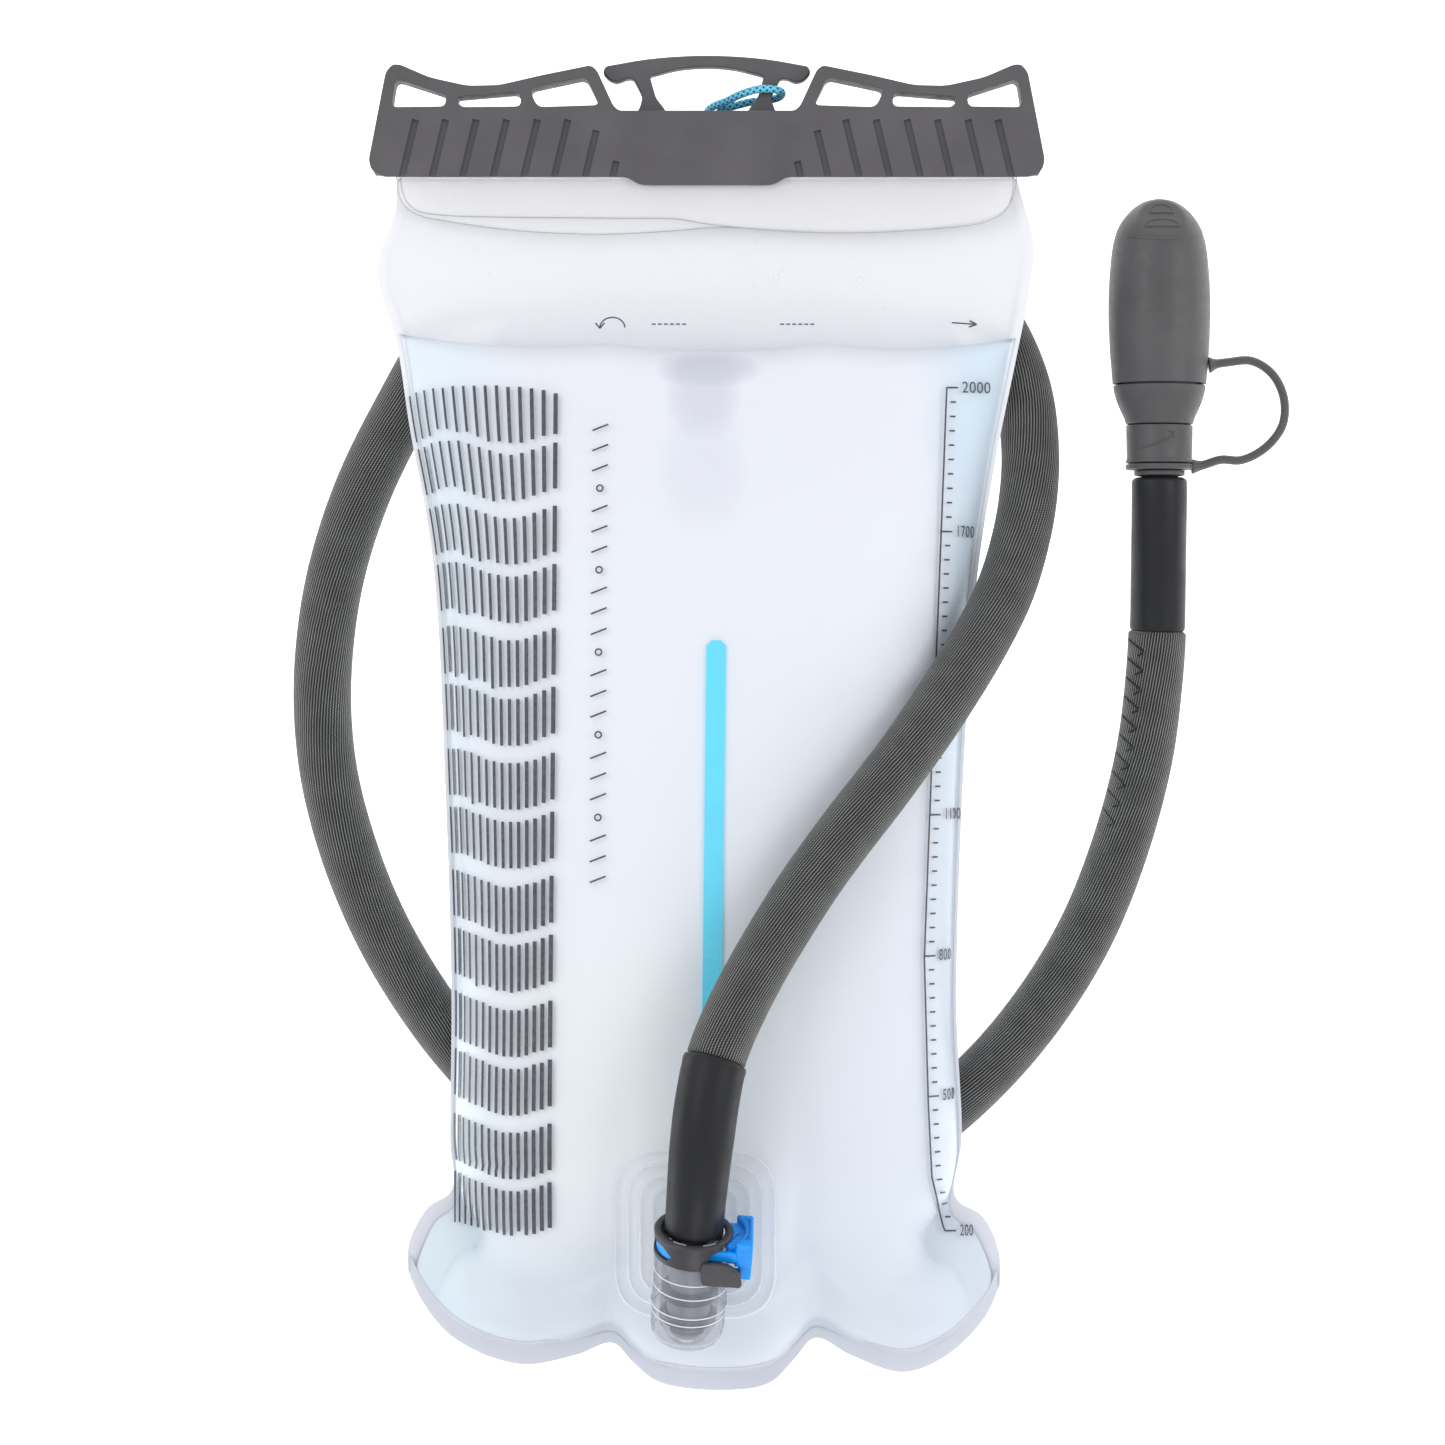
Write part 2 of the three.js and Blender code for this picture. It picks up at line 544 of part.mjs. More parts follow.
function addCollarAndButton() {
  add("collar", collarGeometry(), darkPlastic(), outlet);
  const upright = (low) => new THREE.Matrix4().makeRotationX(-Math.PI / 2).setPosition(0, low, 0);
  const pad = plate(rounded([[13.9, -6.4], [16.9, -6.4], [16.9, 6.4], [13.9, 6.4]], 1.2), 13.2);
  const stem = plate(rounded([[9.4, -5.4], [14.6, -5.4], [14.6, 5.4], [9.4, 5.4]], 0.8), 7.2);
  const block = toManifold(pad, upright(-12.6)).add(toManifold(stem, upright(-7.4)));
  const springY = -3.8;
  const springHole = new THREE.CylinderGeometry(2.4, 2.4, 8, 16);
  springHole.rotateZ(Math.PI / 2);
  springHole.translate(11, springY, 0);
  add("release_button", fromManifold(block.subtract(toManifold(springHole))), bluePlastic(), outlet);
  const spring = tubeAlong(helix(1.7, 0, 4.8, 4), 0.28, 5, 32);
  spring.rotateZ(-Math.PI / 2);
  spring.translate(6.7, springY, 0);
  add("button_spring", spring, steel(), outlet);
}

function addWeldPatch() {
  const surface = (s, t) => {
    const p = frontPoint(0.335 + 0.29 * s, 0.812 + 0.146 * t);
    p.z += FILM + 1.6;
    return p;
  };
  const patch = toManifold(filmSolid(8, 10, surface, FILM));
  add("weld_patch", fromManifold(patch.subtract(outletCore(12.4, -46, 6, 20))), film());
}

// ---- hose ----
function addHose() {
  const cuffStart = 0.7;
  const sleeveStart = cuffStart + LOWER_CUFF_LENGTH;
  const upperStart = hoseLength - UPPER_CUFF_LENGTH;
  const part = (from, to, count) => stretch(hoseLine, from, to, count);
  add("drink_tube", tubeAlong(part(6, hoseLength - 1, 90), TUBE_R, 8, 38, TUBE_BORE_R), paint(0x2b2c2f, 0.5));
  add("hose_sleeve", tubeAlong(part(sleeveStart + 2, upperStart - 1, 90), HOSE_R, 8, 44, SLEEVE_BORE_R),
    paint(0x4b4d4c, 0.9));
  add("lower_cuff", tubeAlong(part(cuffStart, sleeveStart, 12), CUFF_R, 12, 5, SLEEVE_BORE_R), blackRubber());
  add("upper_cuff", tubeAlong(part(upperStart, hoseLength - 0.4, 12), UPPER_CUFF_R, 12, 5, SLEEVE_BORE_R),
    blackRubber());
}

// ---- bite valve, on an axis along +Y ----
const valve = new THREE.Group();
valve.position.set(VALVE_X, 0, VALVE_Z);
bladder.add(valve);

function addValve() {
  add("valve_stem", lathe([
    [1.8, 68.6], [2.5, 68.6], [2.7, 71.4], [7.4, 72.3], [7.4, 73.6], [5.4, 73.6], [5.4, 79], [4.5, 79],
    [4.5, 81.4], [5.4, 81.4], [5.4, 85], [1.8, 85], [1.8, 68.6],
  ]), greyPlastic(), valve);
  add("valve_o_ring", lathe([
    [4.8, 79.8], [5.2, 79.3], [5.7, 79.8], [5.7, 80.6], [5.2, 81.1], [4.8, 80.6], [4.8, 79.8],
  ]), blackRubber(), valve);
  const leashRing = lathe([[5.8, 73.9], [9.9, 73.9], [9.9, 75.6], [5.8, 75.6], [5.8, 73.9]]);
  add("leash_ring", leashRing, greyPlastic(), valve);
  add("valve_neck", lathe([
    [6, 75.9], [9.75, 75.9], [9.75, 87], [6.4, 87], [6.4, 86], [6, 86], [6, 75.9],
  ]), greyPlastic(), valve);
  add("valve_cup", lathe([
    [4, 87.3], [9.75, 87.3], [10.6, 90], [13.2, 95.6], [13.6, 98.5], [11.9, 98.5], [11.6, 95], [9.6, 90.4],
    [4, 89.4], [4, 87.3],
  ]), greyPlastic(), valve);
  add("bite_mouthpiece", lathe([
    [3, 90], [8.8, 91], [10.9, 95.4], [10.9, 100], [9, 103], [8.6, 118], [9.6, 128], [8.4, 134], [0.8, 136],
    [0.8, 133], [6, 130], [6, 104], [3, 98], [3, 90],
  ]), paint(0x7d8790, 0.5), valve);
}

// The cap is barrel shaped, with its crown cut back on a slant at the front.
function addCap() {
  const shell = toManifold(lathe([
    [12.4, 99.1], [14, 99.1], [14.6, 108], [15, 122], [14.9, 134], [14.2, 142], [12, 148.6], [7.4, 152.4],
    [0, 153.4], [0, 147], [8, 146], [12, 138], [12.6, 122], [12.4, 99.1],
  ], 24));
  const facet = box([-20, 0, 0], [20, 40, 20]);
  const slant = new THREE.Matrix4().makeRotationX(-0.5).setPosition(0, 139.6, 14.6);
  add("dust_cap", fromManifold(shell.subtract(toManifold(facet, slant))), greyPlastic(), valve);
}

function addLeash() {
  const line = splineOf([
    [10.6, 74.9, 0], [12.6, 75.2, 0], [18, 76.6, 0], [24, 76.4, 0], [31, 80, 0], [36, 87, 0], [36.4, 95, 0],
    [33, 102, 0], [27, 105.8, 0], [20, 105.4, 0], [15.4, 105.2, 0],
  ]);
  const corners = [[-1.3, -1.8], [1.3, -1.8], [1.3, 1.8], [-1.3, 1.8]];
  const strap = new THREE.Shape(corners.map(([x, y]) => new THREE.Vector2(x, y)));
  add("cap_leash", new THREE.ExtrudeGeometry(strap, { extrudePath: line, steps: 24 }), greyPlastic(), valve);
}

addBag();
addGusset();
addStripAndWater();
addMouth();
addSlider();
addTether();
addOutletBody();
addCollarAndButton();
addWeldPatch();
addHose();
addValve();
addCap();
addLeash();

export default bladder;
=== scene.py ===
"""A soft water bladder on its back, with its hose looped round and under the bag.

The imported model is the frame. Each visible piece is rebuilt here in finer mesh code and stands
for its node. Lengths are in millimetres until a mesh is made, and metres from there on.
"""
import math
import random

import bmesh
import bpy
import numpy as np
from mathutils import Matrix, Vector, noise
from mathutils.bvhtree import BVHTree


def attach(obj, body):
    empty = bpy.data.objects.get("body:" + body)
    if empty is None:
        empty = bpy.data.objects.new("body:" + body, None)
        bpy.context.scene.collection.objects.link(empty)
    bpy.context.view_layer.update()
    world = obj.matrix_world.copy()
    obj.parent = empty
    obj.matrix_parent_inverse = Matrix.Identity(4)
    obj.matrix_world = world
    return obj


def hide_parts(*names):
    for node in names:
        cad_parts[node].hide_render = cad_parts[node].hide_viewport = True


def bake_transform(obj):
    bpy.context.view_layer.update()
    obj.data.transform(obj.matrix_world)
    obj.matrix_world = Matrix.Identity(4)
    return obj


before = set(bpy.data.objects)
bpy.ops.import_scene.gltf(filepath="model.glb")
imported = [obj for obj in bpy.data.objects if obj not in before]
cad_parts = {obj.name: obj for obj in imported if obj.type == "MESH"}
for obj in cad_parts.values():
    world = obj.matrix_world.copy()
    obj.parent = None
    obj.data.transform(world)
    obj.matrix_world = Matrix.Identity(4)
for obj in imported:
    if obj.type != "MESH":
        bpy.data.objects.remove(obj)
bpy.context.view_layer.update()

# ---- driving dimensions, in millimetres ----
MM = 0.001
TURN = 2 * math.pi

# the bag's films: their thickness, and the room left between two pieces
SHEET = 0.5
FILM = 0.6
GAP = 0.3

# heights of the side welds, of the neck and of the filled belly
SEAM_Z = 21.0
NECK_Z = 28.0
BELLY_Z = 56.0
NECK_BULGE = 2.6

# the bag in plan: from the slider down to the base, with the water line and the welded rims
TOP_Y = 158.0
BODY_LENGTH = 352.0
WATER_Y = 108.0
RIM = 3.0
EAR_RIM = 11.0
FLANGE = 6.0

# the hose, its two cuffs and its knit
HOSE_R = 8.5
BARE_HOSE_R = 6.6
CUFF_R = 9.1
UPPER_CUFF_R = 8.1
LOWER_CUFF_LENGTH = 49.0
UPPER_CUFF_LENGTH = 45.8
WALES = 62
STITCH_LENGTH = 0.8

# the slider and the tether cord
SLIDER_BACK_Z = 20.5
SLIDER_FRONT_Z = 36.0
GROOVE_DEPTH = 1.1
TETHER_R = 1.15

# the outlet: where its axis leaves the collar, and its direction
COLLAR = (-3.5, -142.7, 71.0)
OUTLET_AXIS = (0.063, 0.897, 0.438)
SOCKET_R = 10.6

# the bite valve's axis, along +Y
VALVE_X = 132.4
VALVE_Z = 15.4

# the camera, in metres, and its lens
CAMERA_PLACE = (0.00455, 0, 1.6)
LENS = 134.9

# the middle lines of the hose and the tether, and the bag's three cut edges
HOSE_ROUTE = [
    (-3.5, -142.7, 71), (-2.7, -132.5, 75.3), (-1.4, -119, 78.1), (0.4, -105.5, 78.5), (2.6, -95, 77.1),
    (6.2, -85.6, 74.6), (13, -72.1, 70.3), (20.9, -58.7, 67.2), (29.7, -45.1, 65), (39.6, -31.6, 62.4),
    (50.2, -18.1, 58.8), (60.5, -4.4, 53.4), (70, 9.4, 46.6), (78.7, 23.3, 38.8), (86, 37.2, 30.8),
    (90.8, 51, 23.2), (93.8, 65, 16.8), (94.8, 80, 11.7), (92.6, 98, 9), (85.6, 114.9, 8.7),
    (74.4, 129.4, 8.7), (59.8, 140.6, 8.7), (42.8, 147.6, 8.7), (24.6, 150.4, 8.7), (6, 151, 8.7),
    (-13, 149.6, 8.7), (-36, 144.4, 8.7), (-57, 133.6, 8.7), (-75, 116, 8.7), (-90, 91, 8.7),
    (-102, 66, 8.7), (-109.8, 40, 8.7), (-113, 12, 8.7), (-111.6, -12, 8.7), (-106.4, -34, 8.7),
    (-97.5, -57, 8.7), (-86, -77.6, 8.7), (-72.2, -96.3, 8.7), (-56, -113, 8.7), (-36, -126.6, 8.7),
    (-12, -134.8, 8.7), (14, -136.2, 8.7), (40, -131, 8.7), (63, -119, 8.7), (83, -101.6, 8.7),
    (98.9, -82.2, 8.7), (112, -60.2, 8.7), (122, -34.6, 8.7), (128.6, -9, 8.7), (131.5, 14, 8.8),
    (132.3, 28, 9.4), (132.4, 42, 11.3), (132.4, 54, 13.6), (132.4, 64, 15.1), (132.4, 68, 15.4),
    (132.4, 72, 15.4),
]
TETHER_ROUTE = [
    (-2, 169.6, 17.2), (-0.8, 174, 17), (0.2, 178.2, 18.4), (1.6, 179.4, 22), (5.4, 180.4, 26.6),
    (10.4, 182.2, 31), (15.6, 183.4, 32.6), (20.4, 183.2, 31.6), (21.8, 182.6, 27.4), (20.4, 181.8, 23.2),
    (16.4, 181.2, 22.2), (12.4, 180.6, 23.4), (8.4, 179.6, 23.4), (4.4, 178.9, 20.6), (3.6, 178, 18),
    (2.6, 174, 17), (1.8, 169.6, 17.2),
]
LEFT_EDGE = [
    (-89.9, TOP_Y), (-90.6, 148), (-95.8, 132), (-90.2, 109.8), (-87, 88), (-80, 47.3), (-76.2, -22.6),
    (-74.5, -80.8), (-74.9, -121.5), (-74.5, -136.5), (-81.5, -141.5), (-87, -152), (-87.3, -160),
]
RIGHT_EDGE = [
    (90, TOP_Y), (94.9, 138.4), (94, 127), (89.6, 103.6), (84.8, 79.6), (79.4, 47), (76, 6.5),
    (72.8, -80.8), (74.3, -121.5), (72.6, -138.5), (80.5, -144), (85.2, -154), (85.7, -164),
]
BASE_EDGE = [
    (-87.3, -160), (-82.6, -169.7), (-73, -180), (-54.2, -186.8), (-38, -184), (-27.3, -180.4),
    (-21.3, -186.1), (-14, -191.6), (3.8, -194), (18, -192), (25.3, -185.2), (31.4, -179),
    (42, -184.2), (57.1, -189.2), (70, -184.4), (81.1, -173.6), (85.7, -164),
]


# ---- small maths ----
def clamp01(v):
    return np.clip(v, 0.0, 1.0)


def smooth(start, end, v):
    k = clamp01((np.asarray(v, float) - start) / (end - start))
    return k * k * (3 - 2 * k)


def swell(k, power, root):
    return (1 - (1 - clamp01(k)) ** power) ** root


def lerp(a, b, k):
    return a + (b - a) * k


class Line:
    """A centripetal Catmull-Rom curve through points, sampled evenly along its length."""

    def __init__(self, points, per_span=28):
        knots = np.array([[*p, 0.0][:3] for p in points], float)
        knots = np.vstack([2 * knots[0] - knots[1], knots, 2 * knots[-1] - knots[-2]])
        spans = [self.span(knots[k:k + 4], per_span) for k in range(len(knots) - 3)]
        self.dense = np.vstack(spans + [knots[-2:-1]])
        steps = np.linalg.norm(np.diff(self.dense, axis=0), axis=1)
        self.along = np.concatenate([[0], np.cumsum(steps)])
        self.length = self.along[-1]

    @staticmethod
    def span(knots, count):
        d0, d1, d2 = np.sqrt(np.linalg.norm(np.diff(knots, axis=0), axis=1))
        a, b, c, d = knots
        leave = ((b - a) / d0 - (c - a) / (d0 + d1) + (c - b) / d1) * d1
        reach = ((c - b) / d1 - (d - b) / (d1 + d2) + (d - c) / d2) * d1
        k = (np.arange(count) / count)[:, None]
        cubic = 2 * b - 2 * c + leave + reach
        square = 3 * c - 3 * b - 2 * leave - reach
        return b + leave * k + square * k ** 2 + cubic * k ** 3

    def at(self, share):
        """Points at shares of the length, from 0 to 1."""
        place = clamp01(share) * self.length
        return np.stack([np.interp(place, self.along, self.dense[:, k]) for k in range(3)], -1)

    def stretch(self, start, end, count):
        """count + 1 points between two lengths along the line."""
        return self.at(np.linspace(start, end, count + 1) / self.length)


def rounded(points, radius, steps=4, closed=True):
    """The corners of a polygon, each replaced by a short arc."""
    out = []
    count = len(points)
    for k in range(count):
        here = np.array(points[k], float)
        if not closed and k in (0, count - 1):
            out.append(here)
            continue
        before = np.array(points[k - 1], float) - here
        after = np.array(points[(k + 1) % count], float) - here
        sizes = np.linalg.norm(before), np.linalg.norm(after)
        reach = min(radius, sizes[0] / 2.2, sizes[1] / 2.2)
        start = here + before / sizes[0] * reach
        end = here + after / sizes[1] * reach
        for j in range(steps + 1):
            w = j / steps
            out.append((1 - w) ** 2 * start + 2 * w * (1 - w) * here + w * w * end)
    return [tuple(p) for p in out]


def mirrored(points):
    return [(-x, y) for x, y in points][::-1]


def box(x0, y0, x1, y1):
    """The outline of a rectangle."""
    return [(x0, y0), (x1, y0), (x1, y1), (x0, y1)]


def ring(inner, outer, low, high):
    """The closed profile of a ring: its two radii and its two heights."""
    return [(inner, low), (outer, low), (outer, high), (inner, high), (inner, low)]


# ---- mesh makers ----
def link(thing):
    bpy.context.scene.collection.objects.link(thing)
    return thing


def mesh_object(name, points, faces, soft=True):
    """A mesh object from points in millimetres. Points that coincide are joined."""
    mesh = bpy.data.meshes.new(name)
    mesh.from_pydata((np.asarray(points, float) * MM).tolist(), [], [list(map(int, f)) for f in faces])
    tidy(mesh)
    if soft:
        mesh.shade_smooth()
    return link(bpy.data.objects.new(name, mesh))


def tidy(mesh):
    work = bmesh.new()
    work.from_mesh(mesh)
    bmesh.ops.remove_doubles(work, verts=work.verts, dist=2e-6)
    bmesh.ops.dissolve_degenerate(work, edges=work.edges, dist=1e-7)
    bmesh.ops.recalc_face_normals(work, faces=work.faces)
    work.to_mesh(mesh)
    work.free()


def grid_faces(columns, rows, start=0, closed=False):
    """Quads of a grid of points, row by row. A closed grid joins its last column to its first."""
    wide = columns if closed else columns + 1
    i, j = np.meshgrid(np.arange(columns), np.arange(rows))
    right = (i + 1) % wide
    quads = np.stack([j * wide + i, j * wide + right, (j + 1) * wide + right, (j + 1) * wide + i], -1)
    return (quads.reshape(-1, 4) + start).tolist()


def grid_object(name, surface, columns, rows):
    s, t = np.meshgrid(np.linspace(0, 1, columns + 1), np.linspace(0, 1, rows + 1))
    points = surface(s.ravel(), t.ravel())
    return mesh_object(name, points, grid_faces(columns, rows))


def thicken(thing, thickness, offset=-1.0):
    """A skin made into a sheet of that thickness, in millimetres."""
    change = thing.modifiers.new("thickness", "SOLIDIFY")
    change.thickness = thickness * MM
    change.offset = offset
    return bake(thing)


def bake(thing):
    """The object's modifiers, or its curve, made into its own mesh."""
    seen = thing.evaluated_get(bpy.context.evaluated_depsgraph_get())
    mesh = bpy.data.meshes.new_from_object(seen)
    name = thing.name
    world = thing.matrix_world.copy()
    bpy.data.objects.remove(thing)
    mesh.name = name
    made = link(bpy.data.objects.new(name, mesh))
    made.matrix_world = world
    return made


def settle(thing, place=None):
    """The object's place moved into its mesh, so that its origin stays at the frame's."""
    bpy.context.view_layer.update()
    turn = (place or Matrix.Identity(4)) @ thing.matrix_world
    thing.data.transform(turn)
    thing.matrix_world = Matrix.Identity(4)
    return thing


def crisp(thing, degrees=35):
    """Smooth shading with sharp edges kept where faces meet at more than the angle."""
    thing.data.shade_smooth()
    thing.data.set_sharp_from_angle(angle=math.radians(degrees))
    return thing


def level(thing):
    """Sharp edges as crisp makes them, and each broad flat face shaded flat up to its rounded edge."""
    crisp(thing, 30)
    change = thing.modifiers.new("level", "WEIGHTED_NORMAL")
    change.keep_sharp = True
    change.weight = 100
    return thing


def turned(outline, sides):
    """x, y and z of an outline of (radius, height) turned round the Y axis, a row for each point."""
    angle = np.linspace(0, TURN, sides, endpoint=False)
    radius, height = outline[:, :1], outline[:, 1:]
    return radius * np.cos(angle), height + 0 * angle, radius * np.sin(angle)


def lathe(name, profile, place, sides=72, corner=0.4):
    """A profile of (radius, height) turned round the local Y axis, its corners slightly rounded."""
    closed = tuple(profile[0]) == tuple(profile[-1])
    points = profile[:-1] if closed else profile
    outline = np.array(rounded(points, corner, 3, closed))
    if closed:
        outline = np.vstack([outline, outline[:1]])
    rings = np.stack(turned(outline, sides), -1)
    made = mesh_object(name, rings.reshape(-1, 3), grid_faces(sides, len(outline) - 1, closed=True))
    return crisp(settle(made, place))


def tube(name, points, radius, sides, flat=1.0):
    """A closed tube along points. radius is one number or one for each point; flat squeezes it.
    Its UV map runs round the tube in U and along it in V, in millimetres."""
    points = np.asarray(points, float)
    count = len(points)
    radius = np.broadcast_to(np.asarray(radius, float), (count,))
    tangent = np.gradient(points, axis=0)
    tangent /= np.linalg.norm(tangent, axis=1)[:, None]
    side = np.zeros_like(points)
    side[0] = np.cross(tangent[0], (0, 0, 1))
    for k in range(1, count):
        side[k] = side[k - 1] - tangent[k] * np.dot(side[k - 1], tangent[k])
    side /= np.linalg.norm(side, axis=1)[:, None]
    rise = np.cross(side, tangent)
    angle = np.linspace(0, TURN, sides, endpoint=False)[None, :, None]
    ring = np.cos(angle) * side[:, None] + flat * np.sin(angle) * rise[:, None]
    body = points[:, None] + radius[:, None, None] * ring
    cloud = np.vstack([body.reshape(-1, 3), points[:1], points[-1:]])
    faces = grid_faces(sides, count - 1, closed=True)
    last = (count - 1) * sides
    for k in range(sides):
        after = (k + 1) % sides
        faces.append([after, k, count * sides])
        faces.append([last + k, last + after, count * sides + 1])
    mesh = bpy.data.meshes.new(name)
    mesh.from_pydata((cloud * MM).tolist(), [], faces)
    along = np.concatenate([[0], np.cumsum(np.linalg.norm(np.diff(points, axis=0), axis=1))])
    wrap_uv(mesh, sides, count, along, TURN * float(radius.max()))
    mesh.shade_smooth()
    return link(bpy.data.objects.new(name, mesh))


def wrap_uv(mesh, sides, count, along, girth):
    """A UV map in millimetres: round the tube in U and along it in V."""
    layer = mesh.uv_layers.new(name="UVMap")
    wall = sides * count
    for face in mesh.polygons:
        spots = [mesh.loops[k].vertex_index for k in face.loop_indices]
        crossing = any(v % sides == 0 for v in spots) and any(v % sides == sides - 1 for v in spots)
        for k, v in zip(face.loop_indices, spots):
            row, turn = divmod(v, sides)
            if v >= wall:
                row, turn = (0 if v == wall else count - 1), 0
            if crossing and turn == 0:
                turn = sides
            layer.data[k].uv = (turn / sides * girth, along[row])


def slab(name, outlines, low, high, bevel=0.4, steps=3, place=None):
    """A plate between two heights with rounded edges. The first outline is its rim, the rest are holes."""
    curve = bpy.data.curves.new(name, "CURVE")
    curve.dimensions = "2D"
    curve.fill_mode = "BOTH"
    curve.extrude = ((high - low) / 2 - bevel) * MM
    curve.bevel_depth = bevel * MM
    curve.bevel_resolution = steps
    curve.offset = -bevel * MM
    for outline in outlines:
        spline = curve.splines.new("POLY")
        spline.points.add(len(outline) - 1)
        for point, (x, y) in zip(spline.points, outline):
            point.co = (x * MM, y * MM, 0, 1)
        spline.use_cyclic_u = True
    made = link(bpy.data.objects.new(name, curve))
    made.location.z = (low + high) / 2 * MM
    bpy.context.view_layer.update()
    made = settle(bake(made), place)
    tidy(made.data)
    return crisp(made, 30)


def joined(name, things, soft=False):
    """Several meshes as one object."""
    work = bmesh.new()
    for thing in things:
        work.from_mesh(thing.data)
    mesh = bpy.data.meshes.new(name)
    work.to_mesh(mesh)
    work.free()
    if soft:
        mesh.shade_smooth()
    for thing in things:
        bpy.data.objects.remove(thing)
    return link(bpy.data.objects.new(name, mesh))


def cut(thing, tool, operation="DIFFERENCE"):
    """Cuts the tool's shape out of a thing, or keeps only what lies inside the tool."""
    change = thing.modifiers.new("cut", "BOOLEAN")
    change.operation = operation
    change.solver = "EXACT"
    change.object = tool
    made = bake(thing)
    bpy.data.objects.remove(tool)
    return made


# ---- materials ----
def linear(colour):
    """A 0xrrggbb colour as linear red, green, blue and alpha."""
    parts = [((colour >> shift) & 255) / 255 for shift in (16, 8, 0)]
    return [c / 12.92 if c <= 0.04045 else ((c + 0.055) / 1.055) ** 2.4 for c in parts] + [1.0]


class Look:
    """A material built from nodes round one Principled shader."""

    def __init__(self, name, colour, roughness, **sockets):
        self.material = bpy.data.materials.new(name)
        self.material.use_nodes = True
        self.tree = self.material.node_tree
        self.shader = self.tree.nodes["Principled BSDF"]
        self.shader.inputs["Base Color"].default_value = linear(colour)
        self.shader.inputs["Roughness"].default_value = roughness
        for socket, value in sockets.items():
            self.shader.inputs[socket.replace("_", " ")].default_value = value

    def feed(self, socket, value):
        """Wires a node's output into a socket, or sets a plain value on it."""
        if hasattr(value, "is_output"):
            self.tree.links.new(value, socket)
        else:
            socket.default_value = value

    def new(self, kind, settings=None, **inputs):
        node = self.tree.nodes.new("ShaderNode" + kind)
        for key, value in (settings or {}).items():
            setattr(node, key, value)
        for key, value in inputs.items():
            self.feed(node.inputs[key.replace("_", " ")], value)
        return node

    def math(self, operation, a, b=0.5, c=0.5):
        node = self.new("Math", {"operation": operation})
        for k, value in enumerate((a, b, c)):
            self.feed(node.inputs[k], value)
        return node.outputs[0]

    def plus(self, a, b):
        return self.math("ADD", a, b)

    def minus(self, a, b):
        return self.math("SUBTRACT", a, b)

    def times(self, a, b):
        return self.math("MULTIPLY", a, b)

    def wave(self, turn):
        """A sine of the angle, from 0 to 1."""
        return self.math("MULTIPLY_ADD", self.math("SINE", turn), 0.5, 0.5)

    def between(self, value, start, end):
        """0 where the value is start and 1 where it is end, and held beyond them."""
        return self.new("MapRange", Value=value, From_Min=start, From_Max=end).outputs[0]

    def axes(self, kind="Object"):
        """Three coordinates, each as its own number."""
        node = self.new("SeparateXYZ", Vector=self.new("TexCoord").outputs[kind])
        return [node.outputs[k] for k in range(3)]

    def noise(self, scale, detail=2.0, kind="Object", stretch=(1, 1, 1)):
        found = self.new("TexCoord").outputs[kind]
        where = self.new("Mapping", Vector=found, Scale=stretch).outputs[0]
        return self.new("TexNoise", Vector=where, Scale=scale, Detail=detail).outputs["Fac"]

    def ramp(self, factor, stops):
        """A colour ramp. A stop is a place with a 0xrrggbb colour or a grey number."""
        node = self.new("ValToRGB", Fac=factor)
        bars = node.color_ramp.elements
        while len(bars) < len(stops):
            bars.new(0.5)
        for bar, (at, colour) in zip(bars, stops):
            bar.position = at
            bar.color = linear(colour) if isinstance(colour, int) else (colour, colour, colour, 1)
        return node.outputs["Color"]

    def mix(self, factor, a, b, blend="MIX"):
        node = self.new("Mix", {"data_type": "RGBA", "blend_type": blend})
        for k, value in ((0, factor), (6, a), (7, b)):
            self.feed(node.inputs[k], linear(value) if isinstance(value, int) else value)
        return node.outputs[2]

    def set(self, socket, source):
        self.tree.links.new(source, self.shader.inputs[socket])

    def vary(self, socket, scale, detail, low, high, span=(0.3, 0.7)):
        """A socket that wanders between two colours or two numbers."""
        self.set(socket, self.ramp(self.noise(scale, detail), [(span[0], low), (span[1], high)]))

    def relief(self, height, distance, strength=1.0):
        """Bump of that height in millimetres, on top of any bump there already is."""
        node = self.new("Bump", Height=height, Distance=distance * MM, Strength=strength)
        before = self.shader.inputs["Normal"]
        if before.is_linked:
            self.feed(node.inputs["Normal"], before.links[0].from_socket)
        self.set("Normal", node.outputs[0])


def moulded(name, dark, light, roughness, grain=0.02, gloss=0.28):
    """Moulded plastic: a fine matt grain, faint flow marks and small changes of shade."""
    look = Look(name, light, roughness, Specular_IOR_Level=gloss)
    look.vary("Base Color", 60, 4, dark, light)
    look.vary("Roughness", 400, 3, roughness - 0.06, roughness + 0.08)
    look.relief(look.noise(2600, 2), grain, 0.6)
    return look.material


def film_look(name, colour, alpha, grain=0.05, low=None):
    """Frosted film: a soft sheen, slow ripples and a fine haze. low is its shade at the base."""
    look = Look(name, colour, 0.3, Alpha=alpha, IOR=1.45, Specular_IOR_Level=0.3)
    if low:
        down = look.between(look.axes()[1], 0.06, -0.17)
        look.set("Base Color", look.ramp(down, [(0.0, colour), (1.0, low)]))
    look.vary("Roughness", 30, 4, 0.26, 0.42, (0.35, 0.65))
    look.relief(look.noise(14, 3, stretch=(1, 0.45, 1)), 0.9, 0.5)
    look.relief(look.noise(900, 3), grain, 0.35)
    return look.material


# centre, half size and depth of each part of the painted grey shadow under the neck, in metres
WATER_SHADOW_PATCHES = (
    ((0.0003, 0.1022), (0.0165, 0.006), 0.65),
    ((-0.001, 0.0945), (0.0115, 0.0145), 0.45),
    ((-0.001, 0.072), (0.014, 0.02), 0.2),
)


